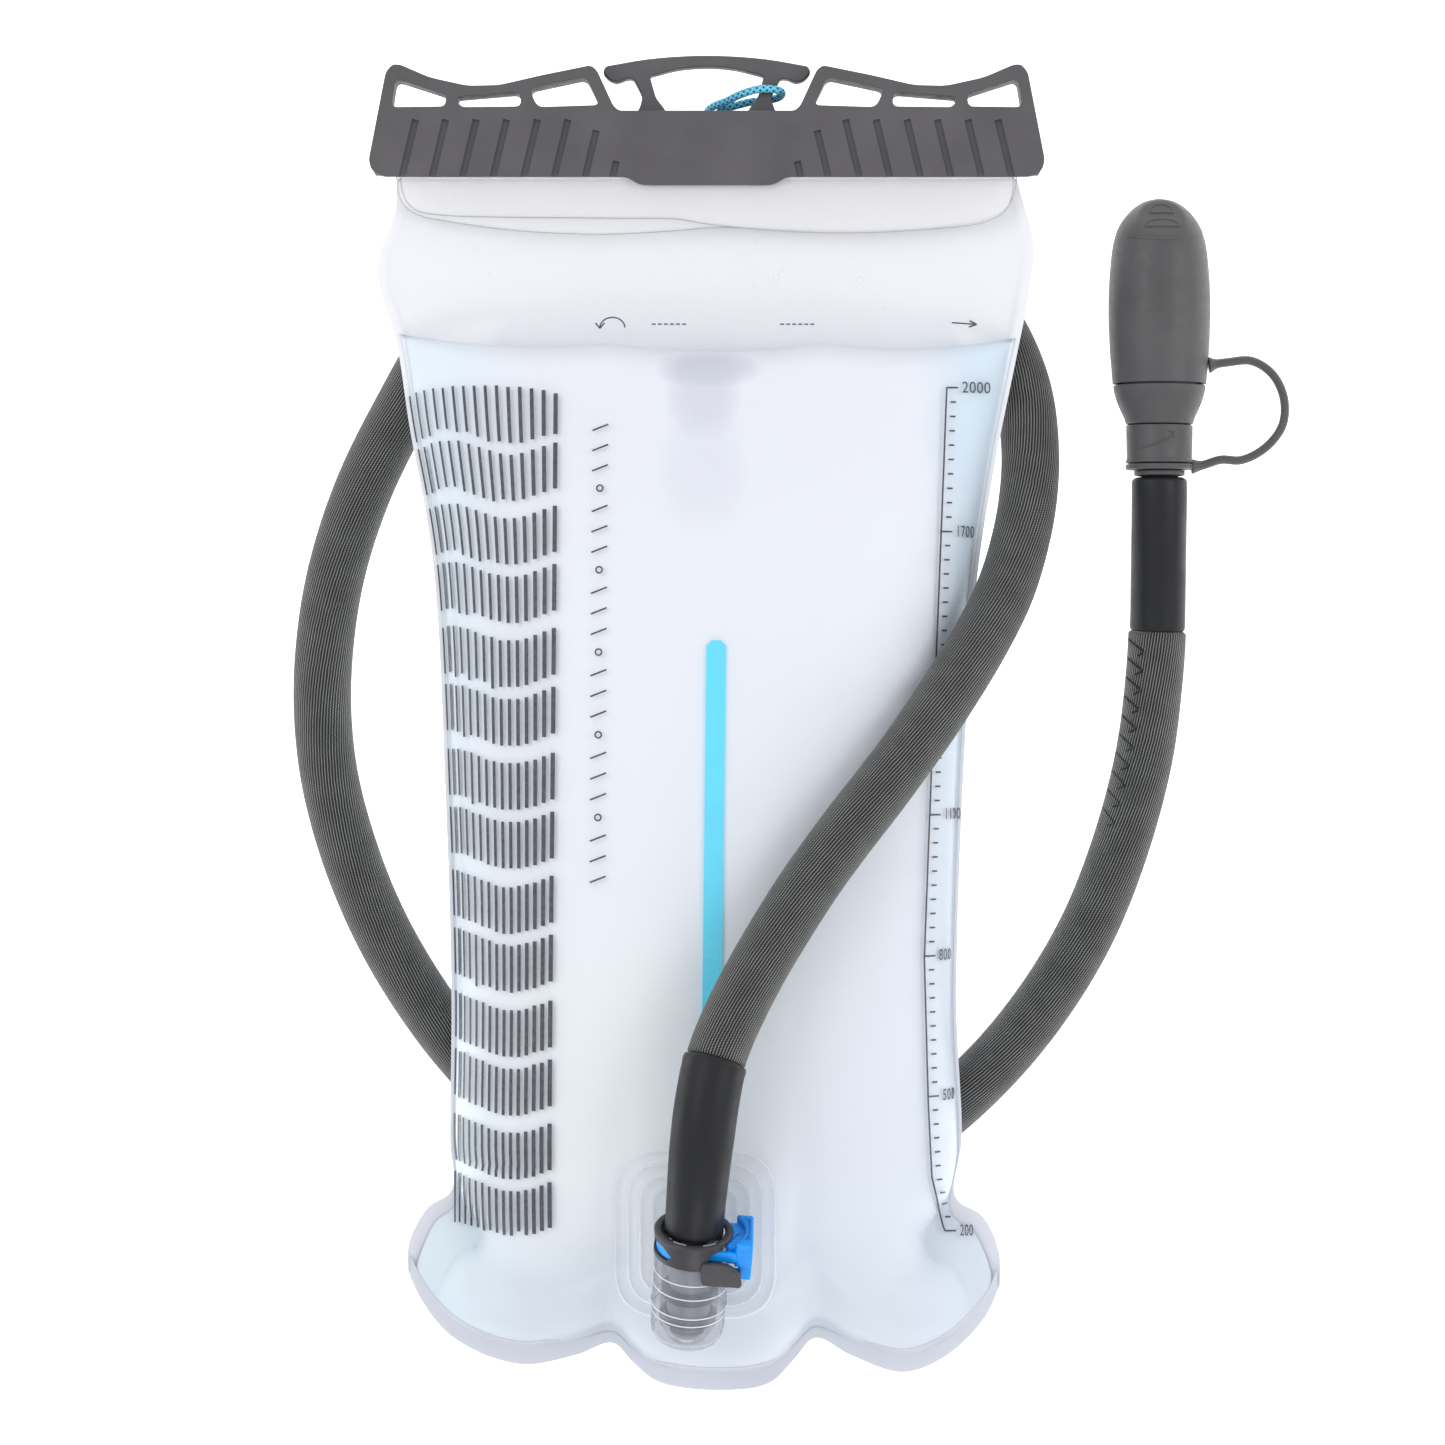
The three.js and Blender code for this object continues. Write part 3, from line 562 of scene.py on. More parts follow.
def water_look():
    """Milky water seen through frosted film: bluer at both sides, greyer low down, and a soft grey
    painted shadow under the neck, of something that lies behind the bag there."""
    look = Look("water_milky", 0xF2F5FC, 0.45, Specular_IOR_Level=0.25)
    x, y = look.axes()[:2]
    sway = look.times(look.minus(look.noise(22, 3), 0.5), 0.02)
    down = look.between(look.plus(y, sway), 0.1, -0.19)
    body = look.ramp(down, [(0.0, 0xEBEEF7), (0.5, 0xEAEEF5), (0.8, 0xECF2F7),
                            (0.92, 0xD1DAE4), (1.0, 0xCDD7E2)])
    right = look.between(look.plus(x, sway), 0.060, 0.073)
    body = look.mix(look.times(right, 0.8), body, 0xD3E9F8)
    left = look.between(look.plus(x, sway), -0.052, -0.074)
    body = look.mix(look.times(left, 0.6), body, 0xDCEFF9)
    low_right = look.times(look.between(x, -0.02, 0.07), look.between(y, 0.05, -0.12))
    body = look.mix(look.times(low_right, 0.8), body, 0xD4DCE8)
    speckle = look.times(look.noise(500, 2), 0.25)
    # painted shadow: each patch mixes a darker grey into the water's colour under the neck
    for centre, size, depth in WATER_SHADOW_PATCHES:
        gap_x = look.math("DIVIDE", look.minus(x, centre[0]), size[0])
        gap_y = look.math("DIVIDE", look.minus(y, centre[1]), size[1])
        cube = look.math("POWER", look.math("ABSOLUTE", gap_x), 3.0)
        near = look.plus(look.plus(cube, look.times(gap_y, gap_y)), speckle)
        spot = look.ramp(near, [(0.2, 1.0), (1.15, 0.0)])
        body = look.mix(look.times(spot, depth), body, 0xC0C4D3)
    look.set("Base Color", body)
    look.relief(look.noise(16, 3, stretch=(1, 0.5, 1)), 0.8, 0.5)
    look.relief(look.noise(700, 3), 0.05, 0.3)
    return look.material


def rubber_look(name, colour, roughness):
    look = Look(name, colour, roughness, Specular_IOR_Level=0.25)
    look.vary("Roughness", 120, 4, roughness - 0.08, roughness + 0.1)
    look.relief(look.noise(1800, 3), 0.015, 0.5)
    return look.material


def clear_look(name, face, edge, alpha_face, alpha_edge):
    """Clear moulding: thin to look through face on, and denser and greyer along its edges."""
    look = Look(name, face, 0.08, IOR=1.5)
    facing = look.new("LayerWeight", Blend=0.35).outputs["Facing"]
    look.set("Base Color", look.ramp(facing, [(0.0, face), (0.75, edge), (1.0, 0xFFFFFF)]))
    look.set("Alpha", look.ramp(facing, [(0.1, alpha_face), (0.8, alpha_edge)]))
    look.relief(look.noise(160, 2), 0.12, 0.4)
    return look.material


def knit_look():
    """Knitted sleeve: fine wales that run along the hose on a slight slant, with pale flecks."""
    look = Look("sleeve_knit", 0x4B4D4C, 0.92, Sheen_Weight=0.25, Sheen_Roughness=0.5)
    u, v = look.axes("UV")[:2]
    wales = look.times(u, WALES / (TURN * HOSE_R))
    slant = look.plus(wales, look.times(v, 0.11))
    wobble = look.times(look.noise(0.25, 2, "UV"), 0.5)
    turn = look.times(look.plus(slant, wobble), TURN)
    beat = look.math("MULTIPLY_ADD", v, TURN / STITCH_LENGTH, look.times(turn, 0.5))
    stitch = look.math("MULTIPLY_ADD", look.wave(beat), 0.3, 0.7)
    yarn = look.times(look.wave(turn), stitch)
    shade = look.ramp(yarn, [(0.05, 0x0A0B0C), (0.45, 0x2C2E2D), (0.85, 0x8C8E8D)])
    patch = look.ramp(look.noise(0.12, 3, "UV"), [(0.3, 0xD8D8D8), (0.7, 0xFFFFFF)])
    look.set("Base Color", look.mix(1.0, shade, patch, "MULTIPLY"))
    look.relief(yarn, 0.22, 0.9)
    look.relief(look.noise(2.2, 3, "UV"), 0.1, 0.6)
    return look.material


def cord_look():
    """Braided cord: two sets of strands that cross on a slant."""
    look = Look("cord_braid", 0x3BA7CF, 0.7)
    u, v = look.axes("UV")[:2]
    around = look.times(u, 4 / (TURN * TETHER_R))
    along = look.times(v, 0.55)
    up = look.times(look.plus(around, along), TURN)
    back = look.times(look.minus(around, along), TURN)
    weave = look.math("MAXIMUM", look.wave(up), look.wave(back))
    look.set("Base Color", look.ramp(weave, [(0.25, 0x1E6E92), (0.6, 0x38A6D0), (0.95, 0x7FD6F0)]))
    look.relief(weave, 0.16, 0.9)
    return look.material


def ink_look():
    look = Look("ink", 0x474853, 0.55)
    look.vary("Base Color", 700, 3, 0x3D3E49, 0x565763)
    return look.material


def strip_look():
    look = Look("strip_blue", 0x14CFFF, 0.4)
    look.vary("Base Color", 60, 3, 0x00D6FB, 0x0AE2FF)
    look.relief(look.noise(300, 2), 0.05, 0.4)
    return look.material


def steel_look():
    look = Look("spring_steel", 0xB8BCC0, 0.3, Metallic=1.0)
    look.vary("Roughness", 500, 3, 0.22, 0.4)
    return look.material


FRONT_FILM = film_look("film_front", 0xF8F9FD, 0.08)
BACK_FILM = film_look("film_back", 0xF7F8FC, 0.96, 0.05, 0xDDDFEA)
LIP_FILM = film_look("film_lip", 0xFDFDFF, 0.34, 0.03)
# grey for the lips' cut edges: painted shade, the dark line a clear film's edge shows
EDGE_SHADE_FILM = film_look("film_edge_shade", 0xA9ACB6, 0.6, 0.03)
RIDGE_FILM = film_look("film_ridge", 0xF2F5FA, 0.5, 0.02)
WATER = water_look()
GREY = moulded("grey_plastic", 0x575558, 0x605E61, 0.5)
VALVE_GREY = moulded("valve_rubber", 0x4D4D4F, 0x565658, 0.45, 0.015, 0.4)
DARK = moulded("dark_plastic", 0x37353A, 0x413F43, 0.36, 0.02, 0.35)
BLUE = moulded("button_blue", 0x0C92FA, 0x149EFF, 0.3, 0.01)
PLUG = moulded("plug_plastic", 0x7E818D, 0x8F919C, 0.3)
CUFF = rubber_look("cuff_rubber", 0x222327, 0.42)
SEAL = rubber_look("seal_rubber", 0x2E2C38, 0.4)
MOUTHPIECE = rubber_look("mouthpiece_silicone", 0x7D8790, 0.35)
CLEAR = clear_look("clear_moulding", 0xBDC0CC, 0x7C7F8C, 0.18, 0.56)
# painted highlight: white for the glints along the clear socket's ridges and edges
SHINE = film_look("clear_rim_glint", 0xFCFCFE, 0.85, 0.01)
KNIT = knit_look()
THREAD = rubber_look("seam_thread", 0x2A2B2B, 0.8)
BRAID = cord_look()
INK = ink_look()
FLANGE_FILM = film_look("film_flange", 0xDFE1EC, 0.9, 0.05, 0xD6DAE6)
DROP = clear_look("water_drop", 0xFFFFFF, 0xC8CCD8, 0.12, 0.6)
STRIP = strip_look()
STEEL = steel_look()


def paint(thing, look):
    thing.data.materials.clear()
    thing.data.materials.append(look)


def dress(thing, look, slot, body, *nodes):
    """Gives a piece its material and its body, and hides the nodes it stands for. The slot is not used."""
    paint(thing, look)
    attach(thing, body)
    if nodes:
        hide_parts(*nodes)


# ---- camera, light and floor ----
def set_camera():
    camera = bpy.data.cameras.new("camera")
    camera.sensor_width = 36
    camera.lens = LENS
    camera.clip_end = 20
    thing = link(bpy.data.objects.new("camera", camera))
    thing.location = CAMERA_PLACE
    bpy.context.scene.camera = thing


def add_light(name, spot, size, power):
    light = bpy.data.lights.new(name, "AREA")
    light.size = size
    light.energy = power
    thing = link(bpy.data.objects.new(name, light))
    thing.location = spot
    aim = Vector((0, 0, 0.02)) - Vector(spot)
    thing.rotation_euler = aim.to_track_quat("-Z", "Y").to_euler()


def set_light():
    scene = bpy.context.scene
    scene.view_settings.view_transform = "Standard"
    scene.cycles.transparent_max_bounces = 24
    world = bpy.data.worlds.new("studio")
    world.use_nodes = True
    scene.world = world
    glow = world.node_tree.nodes["Background"]
    glow.inputs["Color"].default_value = (1, 1, 1, 1)
    glow.inputs["Strength"].default_value = 0.75
    add_light("key", (-0.9, 0.5, 1.3), 0.7, 5)
    add_light("fill", (1.1, 0.2, 1.1), 0.7, 4)
    add_light("base", (0.1, -1.2, 0.8), 0.6, 2.5)


def set_floor():
    half, low = 3, -0.0005
    mesh = bpy.data.meshes.new("floor")
    corners = [(x, y, low) for x, y in box(-half, -half, half, half)]
    mesh.from_pydata(corners, [], [(0, 1, 2, 3)])
    floor = link(bpy.data.objects.new("floor", mesh))
    look = Look("floor_white", 0xFFFFFF, 0.9, Emission_Color=(1, 1, 1, 1), Emission_Strength=1.0)
    mesh.materials.append(look.material)


# ---- hose ----
HOSE = Line(HOSE_ROUTE)
FLOOR_HOSE = np.array([p for p in HOSE.stretch(0, HOSE.length, 420) if p[2] < 9.2])
CUFF_START = 0.7
SLEEVE_START = CUFF_START + LOWER_CUFF_LENGTH
UPPER_START = HOSE.length - UPPER_CUFF_LENGTH


def build_hose():
    """The sleeved tube. It is thinner where it runs inside the two cuffs."""
    start, end = 6.0, HOSE.length - 1.0
    along = np.linspace(start, end, 900)
    points = HOSE.at(along / HOSE.length)
    below = 1 - smooth(UPPER_START - 0.4, UPPER_START + 1.2, along)
    sleeved = smooth(SLEEVE_START - 1.2, SLEEVE_START + 0.4, along) * below
    lumps = np.array([noise.noise(Vector((a * 0.035, 3.1, 0))) for a in along]) * 0.12
    hose = tube("knit_hose", points, lerp(BARE_HOSE_R, HOSE_R, sleeved) + lumps * sleeved, 64)
    dress(hose, KNIT, "knit_sleeve", "bag", "hose_sleeve", "drink_tube")
    return hose, points[::6]


def mouth_round(reach):
    """How far a cuff's wall is rounded in, at a distance from its mouth."""
    return 1.1 * (1 - swell(reach / 1.4, 2, 0.5))


def build_cuffs():
    """The smooth cuffs over the sleeve's two ends. The lower one narrows and runs down into the collar."""
    foot = np.array(COLLAR) - 0.8 * np.array(OUTLET_AXIS) / np.linalg.norm(OUTLET_AXIS)
    along = np.linspace(CUFF_START, SLEEVE_START, 80)
    size = lerp(8.35, CUFF_R, smooth(0, 34, along)) - mouth_round(SLEEVE_START - along)
    size += 0.12 * np.exp(-((along - SLEEVE_START + 1.6) / 0.9) ** 2)
    points = np.vstack([foot, HOSE.at(along / HOSE.length)])
    lower = tube("cuff_lower", points, np.concatenate([[8.3], size]), 64)
    dress(lower, CUFF, "cuff_rubber", "bag", "lower_cuff")
    end = HOSE.length - 0.4
    along = np.linspace(UPPER_START, end, 80)
    size = UPPER_CUFF_R - (mouth_round(along - UPPER_START) + mouth_round(end - along))
    upper = tube("cuff_upper", HOSE.at(along / HOSE.length), size, 64)
    dress(upper, CUFF, "cuff_rubber", "bag", "upper_cuff")
    return lower, upper


# one stitch: steps back along the hose, with degrees round it from the top
STITCH = ((0, 76), (1.2, 56), (2.6, 38), (3.6, 30), (4.8, 44))


def on_sleeve(along, degrees):
    """A point just off the sleeve, that far along the hose and that far round from its top."""
    share = along / HOSE.length
    point = HOSE.at(share)
    ahead = HOSE.at(share + 0.001) - point
    ahead /= np.linalg.norm(ahead)
    left = np.cross((0, 0, 1), ahead)
    angle = math.radians(degrees)
    out = math.sin(angle) * left + math.cos(angle) * np.cross(ahead, left)
    return point + (HOSE_R + 0.12) * out


def build_stitches():
    """Seam stitches near the sleeve's upper end, growing fainter along the hose."""
    threads = []
    for k in range(10):
        start = UPPER_START - 2.5 - 5.8 * k
        hook = Line([on_sleeve(start - step, degrees) for step, degrees in STITCH])
        threads.append(tube("stitch", hook.at(np.linspace(0, 1, 14)), 0.3 - 0.018 * k, 8))
    dress(joined("hose_stitches", threads, soft=True), THREAD, "knit_sleeve", "bag")


def build_tether():
    line = Line(TETHER_ROUTE)
    points = line.at(np.linspace(0, 1, 260))
    cord = tube("tether", points, TETHER_R, 16)
    cord.data.materials.append(BRAID)
    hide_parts("tether_cord")
    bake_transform(cord)


# ---- the bag's shape: four edge curves blended into one patch, then heights ----
LEFT = Line(LEFT_EDGE)
RIGHT = Line(RIGHT_EDGE)
BASE = Line(BASE_EDGE)


def plan_point(s, t):
    left, right, base = LEFT.at(t), RIGHT.at(t), BASE.at(s)
    l0, r0, l1, r1 = LEFT.at(0.0), RIGHT.at(0.0), LEFT.at(1.0), RIGHT.at(1.0)
    out = []
    for k in (0, 1):
        top = lerp(l0[k], r0[k], s) if k == 0 else TOP_Y
        corners = (1 - s) * (1 - t) * l0[k] + s * (1 - t) * r0[k] + (1 - s) * t * l1[k] + s * t * r1[k]
        out.append((1 - t) * top + t * base[..., k] + (1 - s) * left[..., k] + s * right[..., k] - corners)
    return out


def seam_height(y):
    return SEAM_Z + (NECK_Z - SEAM_Z) * smooth(85, 150, y)


def crown_height(y):
    return lerp(BELLY_Z, NECK_Z + NECK_BULGE, smooth(10, 142, y))


def inside(s, t, y):
    """0 on the side weld, 1 in the middle of the bag."""
    width = RIGHT.at(t)[..., 0] - LEFT.at(t)[..., 0]
    rim = RIM + EAR_RIM * smooth(-134, -150, y)
    return clamp01((np.minimum(s, 1 - s) * width - rim) / (width / 2 - rim))


def base_swell(t, reach):
    return swell(((1 - t) * BODY_LENGTH - FLANGE) / reach, 2.4, 0.6)


def base_lift(s):
    return np.sin(math.pi * clamp01(s)) ** 0.8


def creases(s, t, x, y):
    """Small folds: puckers along the side welds and the neck, and rays from the two corner ears."""
    depth = inside(s, t, y)
    edge = np.exp(-((depth - 0.1) / 0.16) ** 2)
    pucker = np.sin(y * 0.42 + 2.2 * np.sin(y * 0.11)) * edge * 0.35
    neck = np.sin(x * 0.16 + 1.7 * np.sin(x * 0.05)) * smooth(96, 140, y) * depth * 0.35
    ray = 0.0
    for side in (-1, 1):
        reach = np.hypot(x - side * 78, y + 146)
        angle = np.arctan2(y + 146, (78 * side - x) * side)
        ray = ray + np.sin(angle * 9) * np.exp(-((reach - 16) / 10) ** 2) * 0.6
    return (pucker + neck + ray) * smooth(0, 0.12, depth)


def front_surface(s, t):
    x, y = plan_point(s, t)
    low = seam_height(y) + 11 * base_lift(s) * smooth(-120, -185, y)
    rise = swell(inside(s, t, y), 2.4, 0.6) * base_swell(t, 84)
    z = low + (crown_height(y) - low) * rise + GAP + FILM
    return np.stack([x, y, z + creases(s, t, x, y)], -1)


def over_hose(x, y):
    near = np.full(np.shape(x), 1e9)
    for point in FLOOR_HOSE:
        near = np.minimum(near, np.hypot(x - point[0], y - point[1]))
    return 19.4 * (1 - smooth(10, 32, near))


def back_surface(s, t):
    x, y = plan_point(s, t)
    low = seam_height(y) - 13 * base_lift(s) * smooth(-130, -180, y)
    neck = 25.4 * smooth(62, 146, y)
    opened = swell(inside(s, t, y), 4, 0.5) * base_swell(t, 40)
    resting = lerp(low, np.minimum(neck, low), opened)
    height = np.maximum(resting, np.minimum(over_hose(x, y), low))
    return np.stack([x, y, np.maximum(0.05, height - GAP - FILM)], -1)


CROWDING = 1.6


def crowded_grid(name, surface, columns, rows):
    """A grid whose columns crowd towards both sides, where the film turns down."""
    def crowded(s, t):
        bent = np.where(s < 0.5, 0.5 * (2 * s) ** CROWDING, 1 - 0.5 * (2 - 2 * s) ** CROWDING)
        return surface(bent, t)
    return grid_object(name, crowded, columns, rows)


def build_bag():
    """The two film panels. The front one's surface is kept as a tree, for what lies on it."""
    front = crowded_grid("film_front", front_surface, 120, 210)
    tree = BVHTree.FromObject(front, bpy.context.evaluated_depsgraph_get())
    dress(thicken(front, SHEET), FRONT_FILM, "clear_film", "bag", "front_panel")
    back = crowded_grid("film_back", back_surface, 110, 190)
    dress(thicken(back, SHEET, 1.0), BACK_FILM, "clear_film", "bag", "back_panel")
    return tree


def notch_share(x):
    """Where along the base edge its x is this."""
    shares = np.linspace(0, 1, 2001)
    return float(shares[np.argmin(np.abs(BASE.at(shares)[:, 0] - x))])


NOTCHES = (notch_share(-27.3), notch_share(31.4))


def flange_width(s):
    """Width of the flat film along the base: wide under each lobe, narrow at the two notches."""
    near = np.minimum(np.abs(s - NOTCHES[0]), np.abs(s - NOTCHES[1]))
    return 0.8 + 3.4 * smooth(0.0, 0.11, near)


def build_gusset():
    """The base film, folded between the two panels: welded to each along the lobes of the cut edge."""
    def surface(s, w):
        along = 0.012 + 0.976 * s
        wide = (flange_width(along) + 2.4) / BODY_LENGTH
        side = np.abs(2 * w - 1)
        t = 0.9985 - wide * smooth(0.3, 1.0, side)
        upper, lower = front_surface(along, t), back_surface(along, t)
        upper[:, 2] -= 1.25
        lower[:, 2] += 1.25
        return lerp(upper, np.minimum(lower, upper - 0.3), smooth(0.35, 0.65, w)[:, None])
    made = thicken(grid_object("film_gusset", surface, 200, 30), SHEET)
    dress(made, FLANGE_FILM, "clear_film", "bag", "base_gusset")


def water_place(a, b):
    """Where on the films the water's grid lies, kept clear of the rim all round."""
    start = (TOP_Y - WATER_Y) / BODY_LENGTH
    s = a
    for _ in range(3):
        end = 1 - np.maximum(0.8, flange_width(s) - 1.6) / BODY_LENGTH
        t = start + (end - start) * b
        y = plan_point(s, t)[1]
        width = RIGHT.at(t)[..., 0] - LEFT.at(t)[..., 0]
        margin = (1.6 + 3.6 * smooth(-128, -156, y)) / width
        s = margin + (1 - 2 * margin) * a
    return s, t


def build_water():
    """The water body, with a rounded meniscus along its upper edge."""
    def shell(side):
        def surface(a, b):
            s, t = water_place(a, b)
            upper, lower = front_surface(s, t), back_surface(s, t)
            upper[:, 2] -= 1.6
            lower[:, 2] += 1.6
            middle = (upper + lower) / 2
            lip = np.minimum(clamp01(b / 0.02), clamp01((1 - b) / 0.008))
            lip = np.minimum(lip, clamp01(np.minimum(a, 1 - a) / 0.014))
            full = np.sqrt(np.maximum(0, 1 - (1 - lip) ** 2))[:, None]
            lower = np.minimum(lower, upper - 0.2)
            return lerp(middle, upper if side > 0 else lower, full)
        return surface
    top = crowded_grid("water_top", shell(1), 110, 170)
    bottom = crowded_grid("water_bottom", shell(-1), 110, 170)
    made = joined("water_body", [top, bottom])
    tidy(made.data)
    made.data.shade_smooth()
    dress(made, WATER, "water", "bag", "water")


def bar_faces(rows):
    """Faces of a four-sided bar, both its ends closed."""
    return grid_faces(4, rows, closed=True) + [[3, 2, 1, 0], [4 * rows + k for k in range(4)]]


def drop_on(tree, points, lift):
    """Points carried straight down onto the front film, then lifted off it."""
    out = []
    for x, y in points:
        hit = tree.ray_cast(Vector((x * MM, y * MM, 0.3)), Vector((0, 0, -1)))[0]
        z = hit.z / MM if hit else SEAM_Z
        out.append((x, y, z + lift))
    return np.array(out)


def build_strip(tree):
    """The blue strip welded inside the front film."""
    rows = 90
    y = np.linspace(23.5, -119.5, rows + 1)
    share = (23.5 - y) / 143
    middle = 2.8 - 1.7 * share
    half = 2.8 * np.sqrt(clamp01(1 - (1 - clamp01((23.5 - y + 0.2) / 2.0)) ** 2))
    rings = []
    for side, drop in ((-1, -0.75), (1, -0.75), (1, -1.9), (-1, -1.9)):
        plan = np.stack([middle + side * half, y], -1)
        rings.append(drop_on(tree, plan, drop))
    points = np.stack(rings, 1).reshape(-1, 3)
    made = crisp(mesh_object("strip", points, bar_faces(rows)), 50)
    dress(made, STRIP, "blue_strip", "bag", "centre_strip")


# ---- lines and marks on the film ----
def ribbon(tree, plan, width, lift=0.2, depth=0.25, closed=False):
    """Points and faces of a thin closed band that follows a line drawn on the film."""
    plan = np.asarray(plan, float)
    turn = np.gradient(plan, axis=0)
    if closed:
        turn = np.roll(plan, -1, 0) - np.roll(plan, 1, 0)
    turn /= np.linalg.norm(turn, axis=1)[:, None] + 1e-9
    wide = np.broadcast_to(np.asarray(width, float), (len(plan),))[:, None]
    out = np.stack([-turn[:, 1], turn[:, 0]], -1) * wide / 2
    left, right = drop_on(tree, plan + out, lift), drop_on(tree, plan - out, lift)
    down = np.array([0, 0, depth])
    points = np.stack([left, right, right - down, left - down], 1).reshape(-1, 3)
    rows = len(plan) - 1
    if not closed:
        return points, bar_faces(rows)
    last = 4 * rows
    seam = [[last + k, last + (k + 1) % 4, (k + 1) % 4, k] for k in range(4)]
    return points, grid_faces(4, rows, closed=True) + seam


def bands_object(name, bands):
    points, faces, start = [], [], 0
    for cloud, quads in bands:
        points.append(cloud)
        faces += [[k + start for k in quad] for quad in quads]
        start += len(cloud)
    return mesh_object(name, np.vstack(points), faces, soft=False)


def stroke(tree, a, b, width=0.4, count=3):
    """A straight printed line."""
    return ribbon(tree, np.linspace(a, b, count), width)


STRIPE_TOP = 98.5
STRIPE_BASE = -149.0


def wave_gap(x, y):
    """True where a wavy blank crosses the stripes: a wide one between blocks, a narrow one half way."""
    cycle = 7 * (STRIPE_TOP - y + 2.2 * np.sin((x + 84) * 0.17)) / (STRIPE_TOP - STRIPE_BASE)
    between = (np.abs(cycle - np.round(cycle)) < 0.052) & (cycle > 0.5) & (cycle < 6.5)
    return between | (np.abs(cycle - np.floor(cycle) - 0.5) < 0.028)


def stripe_marks(tree):
    """A column of upright stripes, cut across by wavy blanks like water."""
    bands = []
    count = 15
    for k in range(count):
        share = k / (count - 1)
        y = np.linspace(STRIPE_TOP, STRIPE_BASE, 500)
        edge = np.interp(y, LEFT.dense[::-1, 1], LEFT.dense[::-1, 0]) + 1.4
        edge = np.where(y < -128, -73.4, edge)
        near = share ** 1.15
        x = lerp(edge, -43.6 - 1.4 * smooth(60, -140, y), near)
        ends = 2.5 * np.sin(share * math.pi)
        keep = (y < STRIPE_TOP - 3 + ends) & (y > STRIPE_BASE + 3 - ends) & ~wave_gap(x, y)
        width = lerp(0.45, 1.25, share)
        cuts = np.flatnonzero(np.diff(keep.astype(int)))
        runs = np.split(np.arange(500), cuts + 1)
        for run in runs:
            if keep[run[0]] and len(run) > 9:
                line = np.stack([x[run], y[run]], -1)[::3]
                bands.append(ribbon(tree, line, width))
    return bands


def bead_marks(tree):
    """A row of slanted dashes and dots beside the stripes."""
    bands = []
    for k in range(23):
        y = 85.0 - k * 5.9
        x = -30.6 - 0.5 * (k / 22)
        if k % 4 == 3:
            angles = np.linspace(0, TURN, 17)[:-1]
            bead = [(x + 0.9 * math.cos(a), y + 0.9 * math.sin(a)) for a in angles]
            bands.append(ribbon(tree, bead, 0.45, closed=True))
        else:
            bands.append(stroke(tree, (x - 2.3, y - 0.9), (x + 2.3, y + 0.9), 0.5, 4))
    return bands


SCALE_MAJORS = (97.0, 55.2, 14.3, -26.6, -67.3, -107.8, -148.0)


SCALE_LINE = (
    (-150, 70.0), (-146, 68.6), (-131, 64.9), (-111, 63.9), (-68, 62.7), (-16, 64.7), (55, 67.7),
    (97, 69.5),
)


def scale_line_x(y):
    """The scale leans in with the bag's side, and out again over the corner ear."""
    return np.interp(y, *zip(*SCALE_LINE))


def scale_marks(tree):
    """The filling scale: a long line, majors every 300 and ten steps between them."""
    y = np.linspace(SCALE_MAJORS[0], SCALE_MAJORS[-1], 160)
    bands = [ribbon(tree, np.stack([scale_line_x(y), y], -1), 0.5)]
    places = np.interp(np.arange(0, 61), np.arange(0, 61, 10), SCALE_MAJORS)
    for k, y in enumerate(places):
        first, last = (0.0, 3.3) if k % 10 == 0 else (1.3, 2.9)
        x = float(scale_line_x(y))
        bands.append(stroke(tree, (x + first, y), (x + last, y), 0.5))
    return bands, places


def number_marks(tree, places):
    """The scale's numbers, drawn as thin solids on the film."""
    made = []
    for k, label in ((0, "2000"), (1, "1700"), (3, "1100"), (4, "800"), (5, "500"), (6, "200")):
        curve = bpy.data.curves.new("number_" + label, "FONT")
        curve.body = label
        curve.size = 4.6 * MM
        curve.extrude = 0.12 * MM
        curve.align_y = "CENTER"
        curve.space_character = 1.05
        thing = bake(link(bpy.data.objects.new("number_" + label, curve)))
        y = places[10 * k]
        x = float(scale_line_x(y)) + 4.4
        squeeze = (0.9, 0.6, 0.6, 0.55, 0.55, 0.55, 0.55)[k]
        for vertex in thing.data.vertices:
            px, py = x + vertex.co.x / MM * squeeze, y + vertex.co.y / MM
            base = drop_on(tree, [(px, py)], 0.2)[0][2]
            vertex.co = Vector((px, py, base + vertex.co.z / MM)) * MM
        made.append(thing)
    return made


def guide_marks(tree):
    """The row above the water: two runs of dashes, a curved arrow and a straight one."""
    y = 115.2
    bands = []
    for start in (-15.9, 21.2):
        for k in range(6):
            x = start + k * 1.75
            bands.append(stroke(tree, (x, y), (x + 1.15, y)))
    arc = [(-27.3 + 3.6 * math.cos(a), y - 1.0 + 3.0 * math.sin(a)) for a in np.linspace(0.0, math.pi, 24)]
    bands.append(ribbon(tree, arc, 0.4))
    bands.append(stroke(tree, (-32.2, y + 0.4), (-30.9, y - 1.2)))
    bands.append(stroke(tree, (-29.6, y + 0.4), (-30.9, y - 1.2)))
    bands.append(stroke(tree, (71.0, y + 0.7), (78.0, y + 0.3), count=8))
    bands.append(stroke(tree, (76.2, y + 1.3), (78.3, y + 0.3), 0.45))
    bands.append(stroke(tree, (76.0, y - 0.5), (78.3, y + 0.3), 0.45))
    return bands


def build_marks(tree):
    stripes = bands_object("print_stripes", stripe_marks(tree) + bead_marks(tree))
    dress(stripes, INK, "print_ink", "bag")
    bands, places = scale_marks(tree)
    scale = bands_object("print_scale", bands + guide_marks(tree))
    dress(scale, INK, "print_ink", "bag")
    numbers = joined("print_numbers", number_marks(tree, places))
    dress(numbers, INK, "print_ink", "bag")


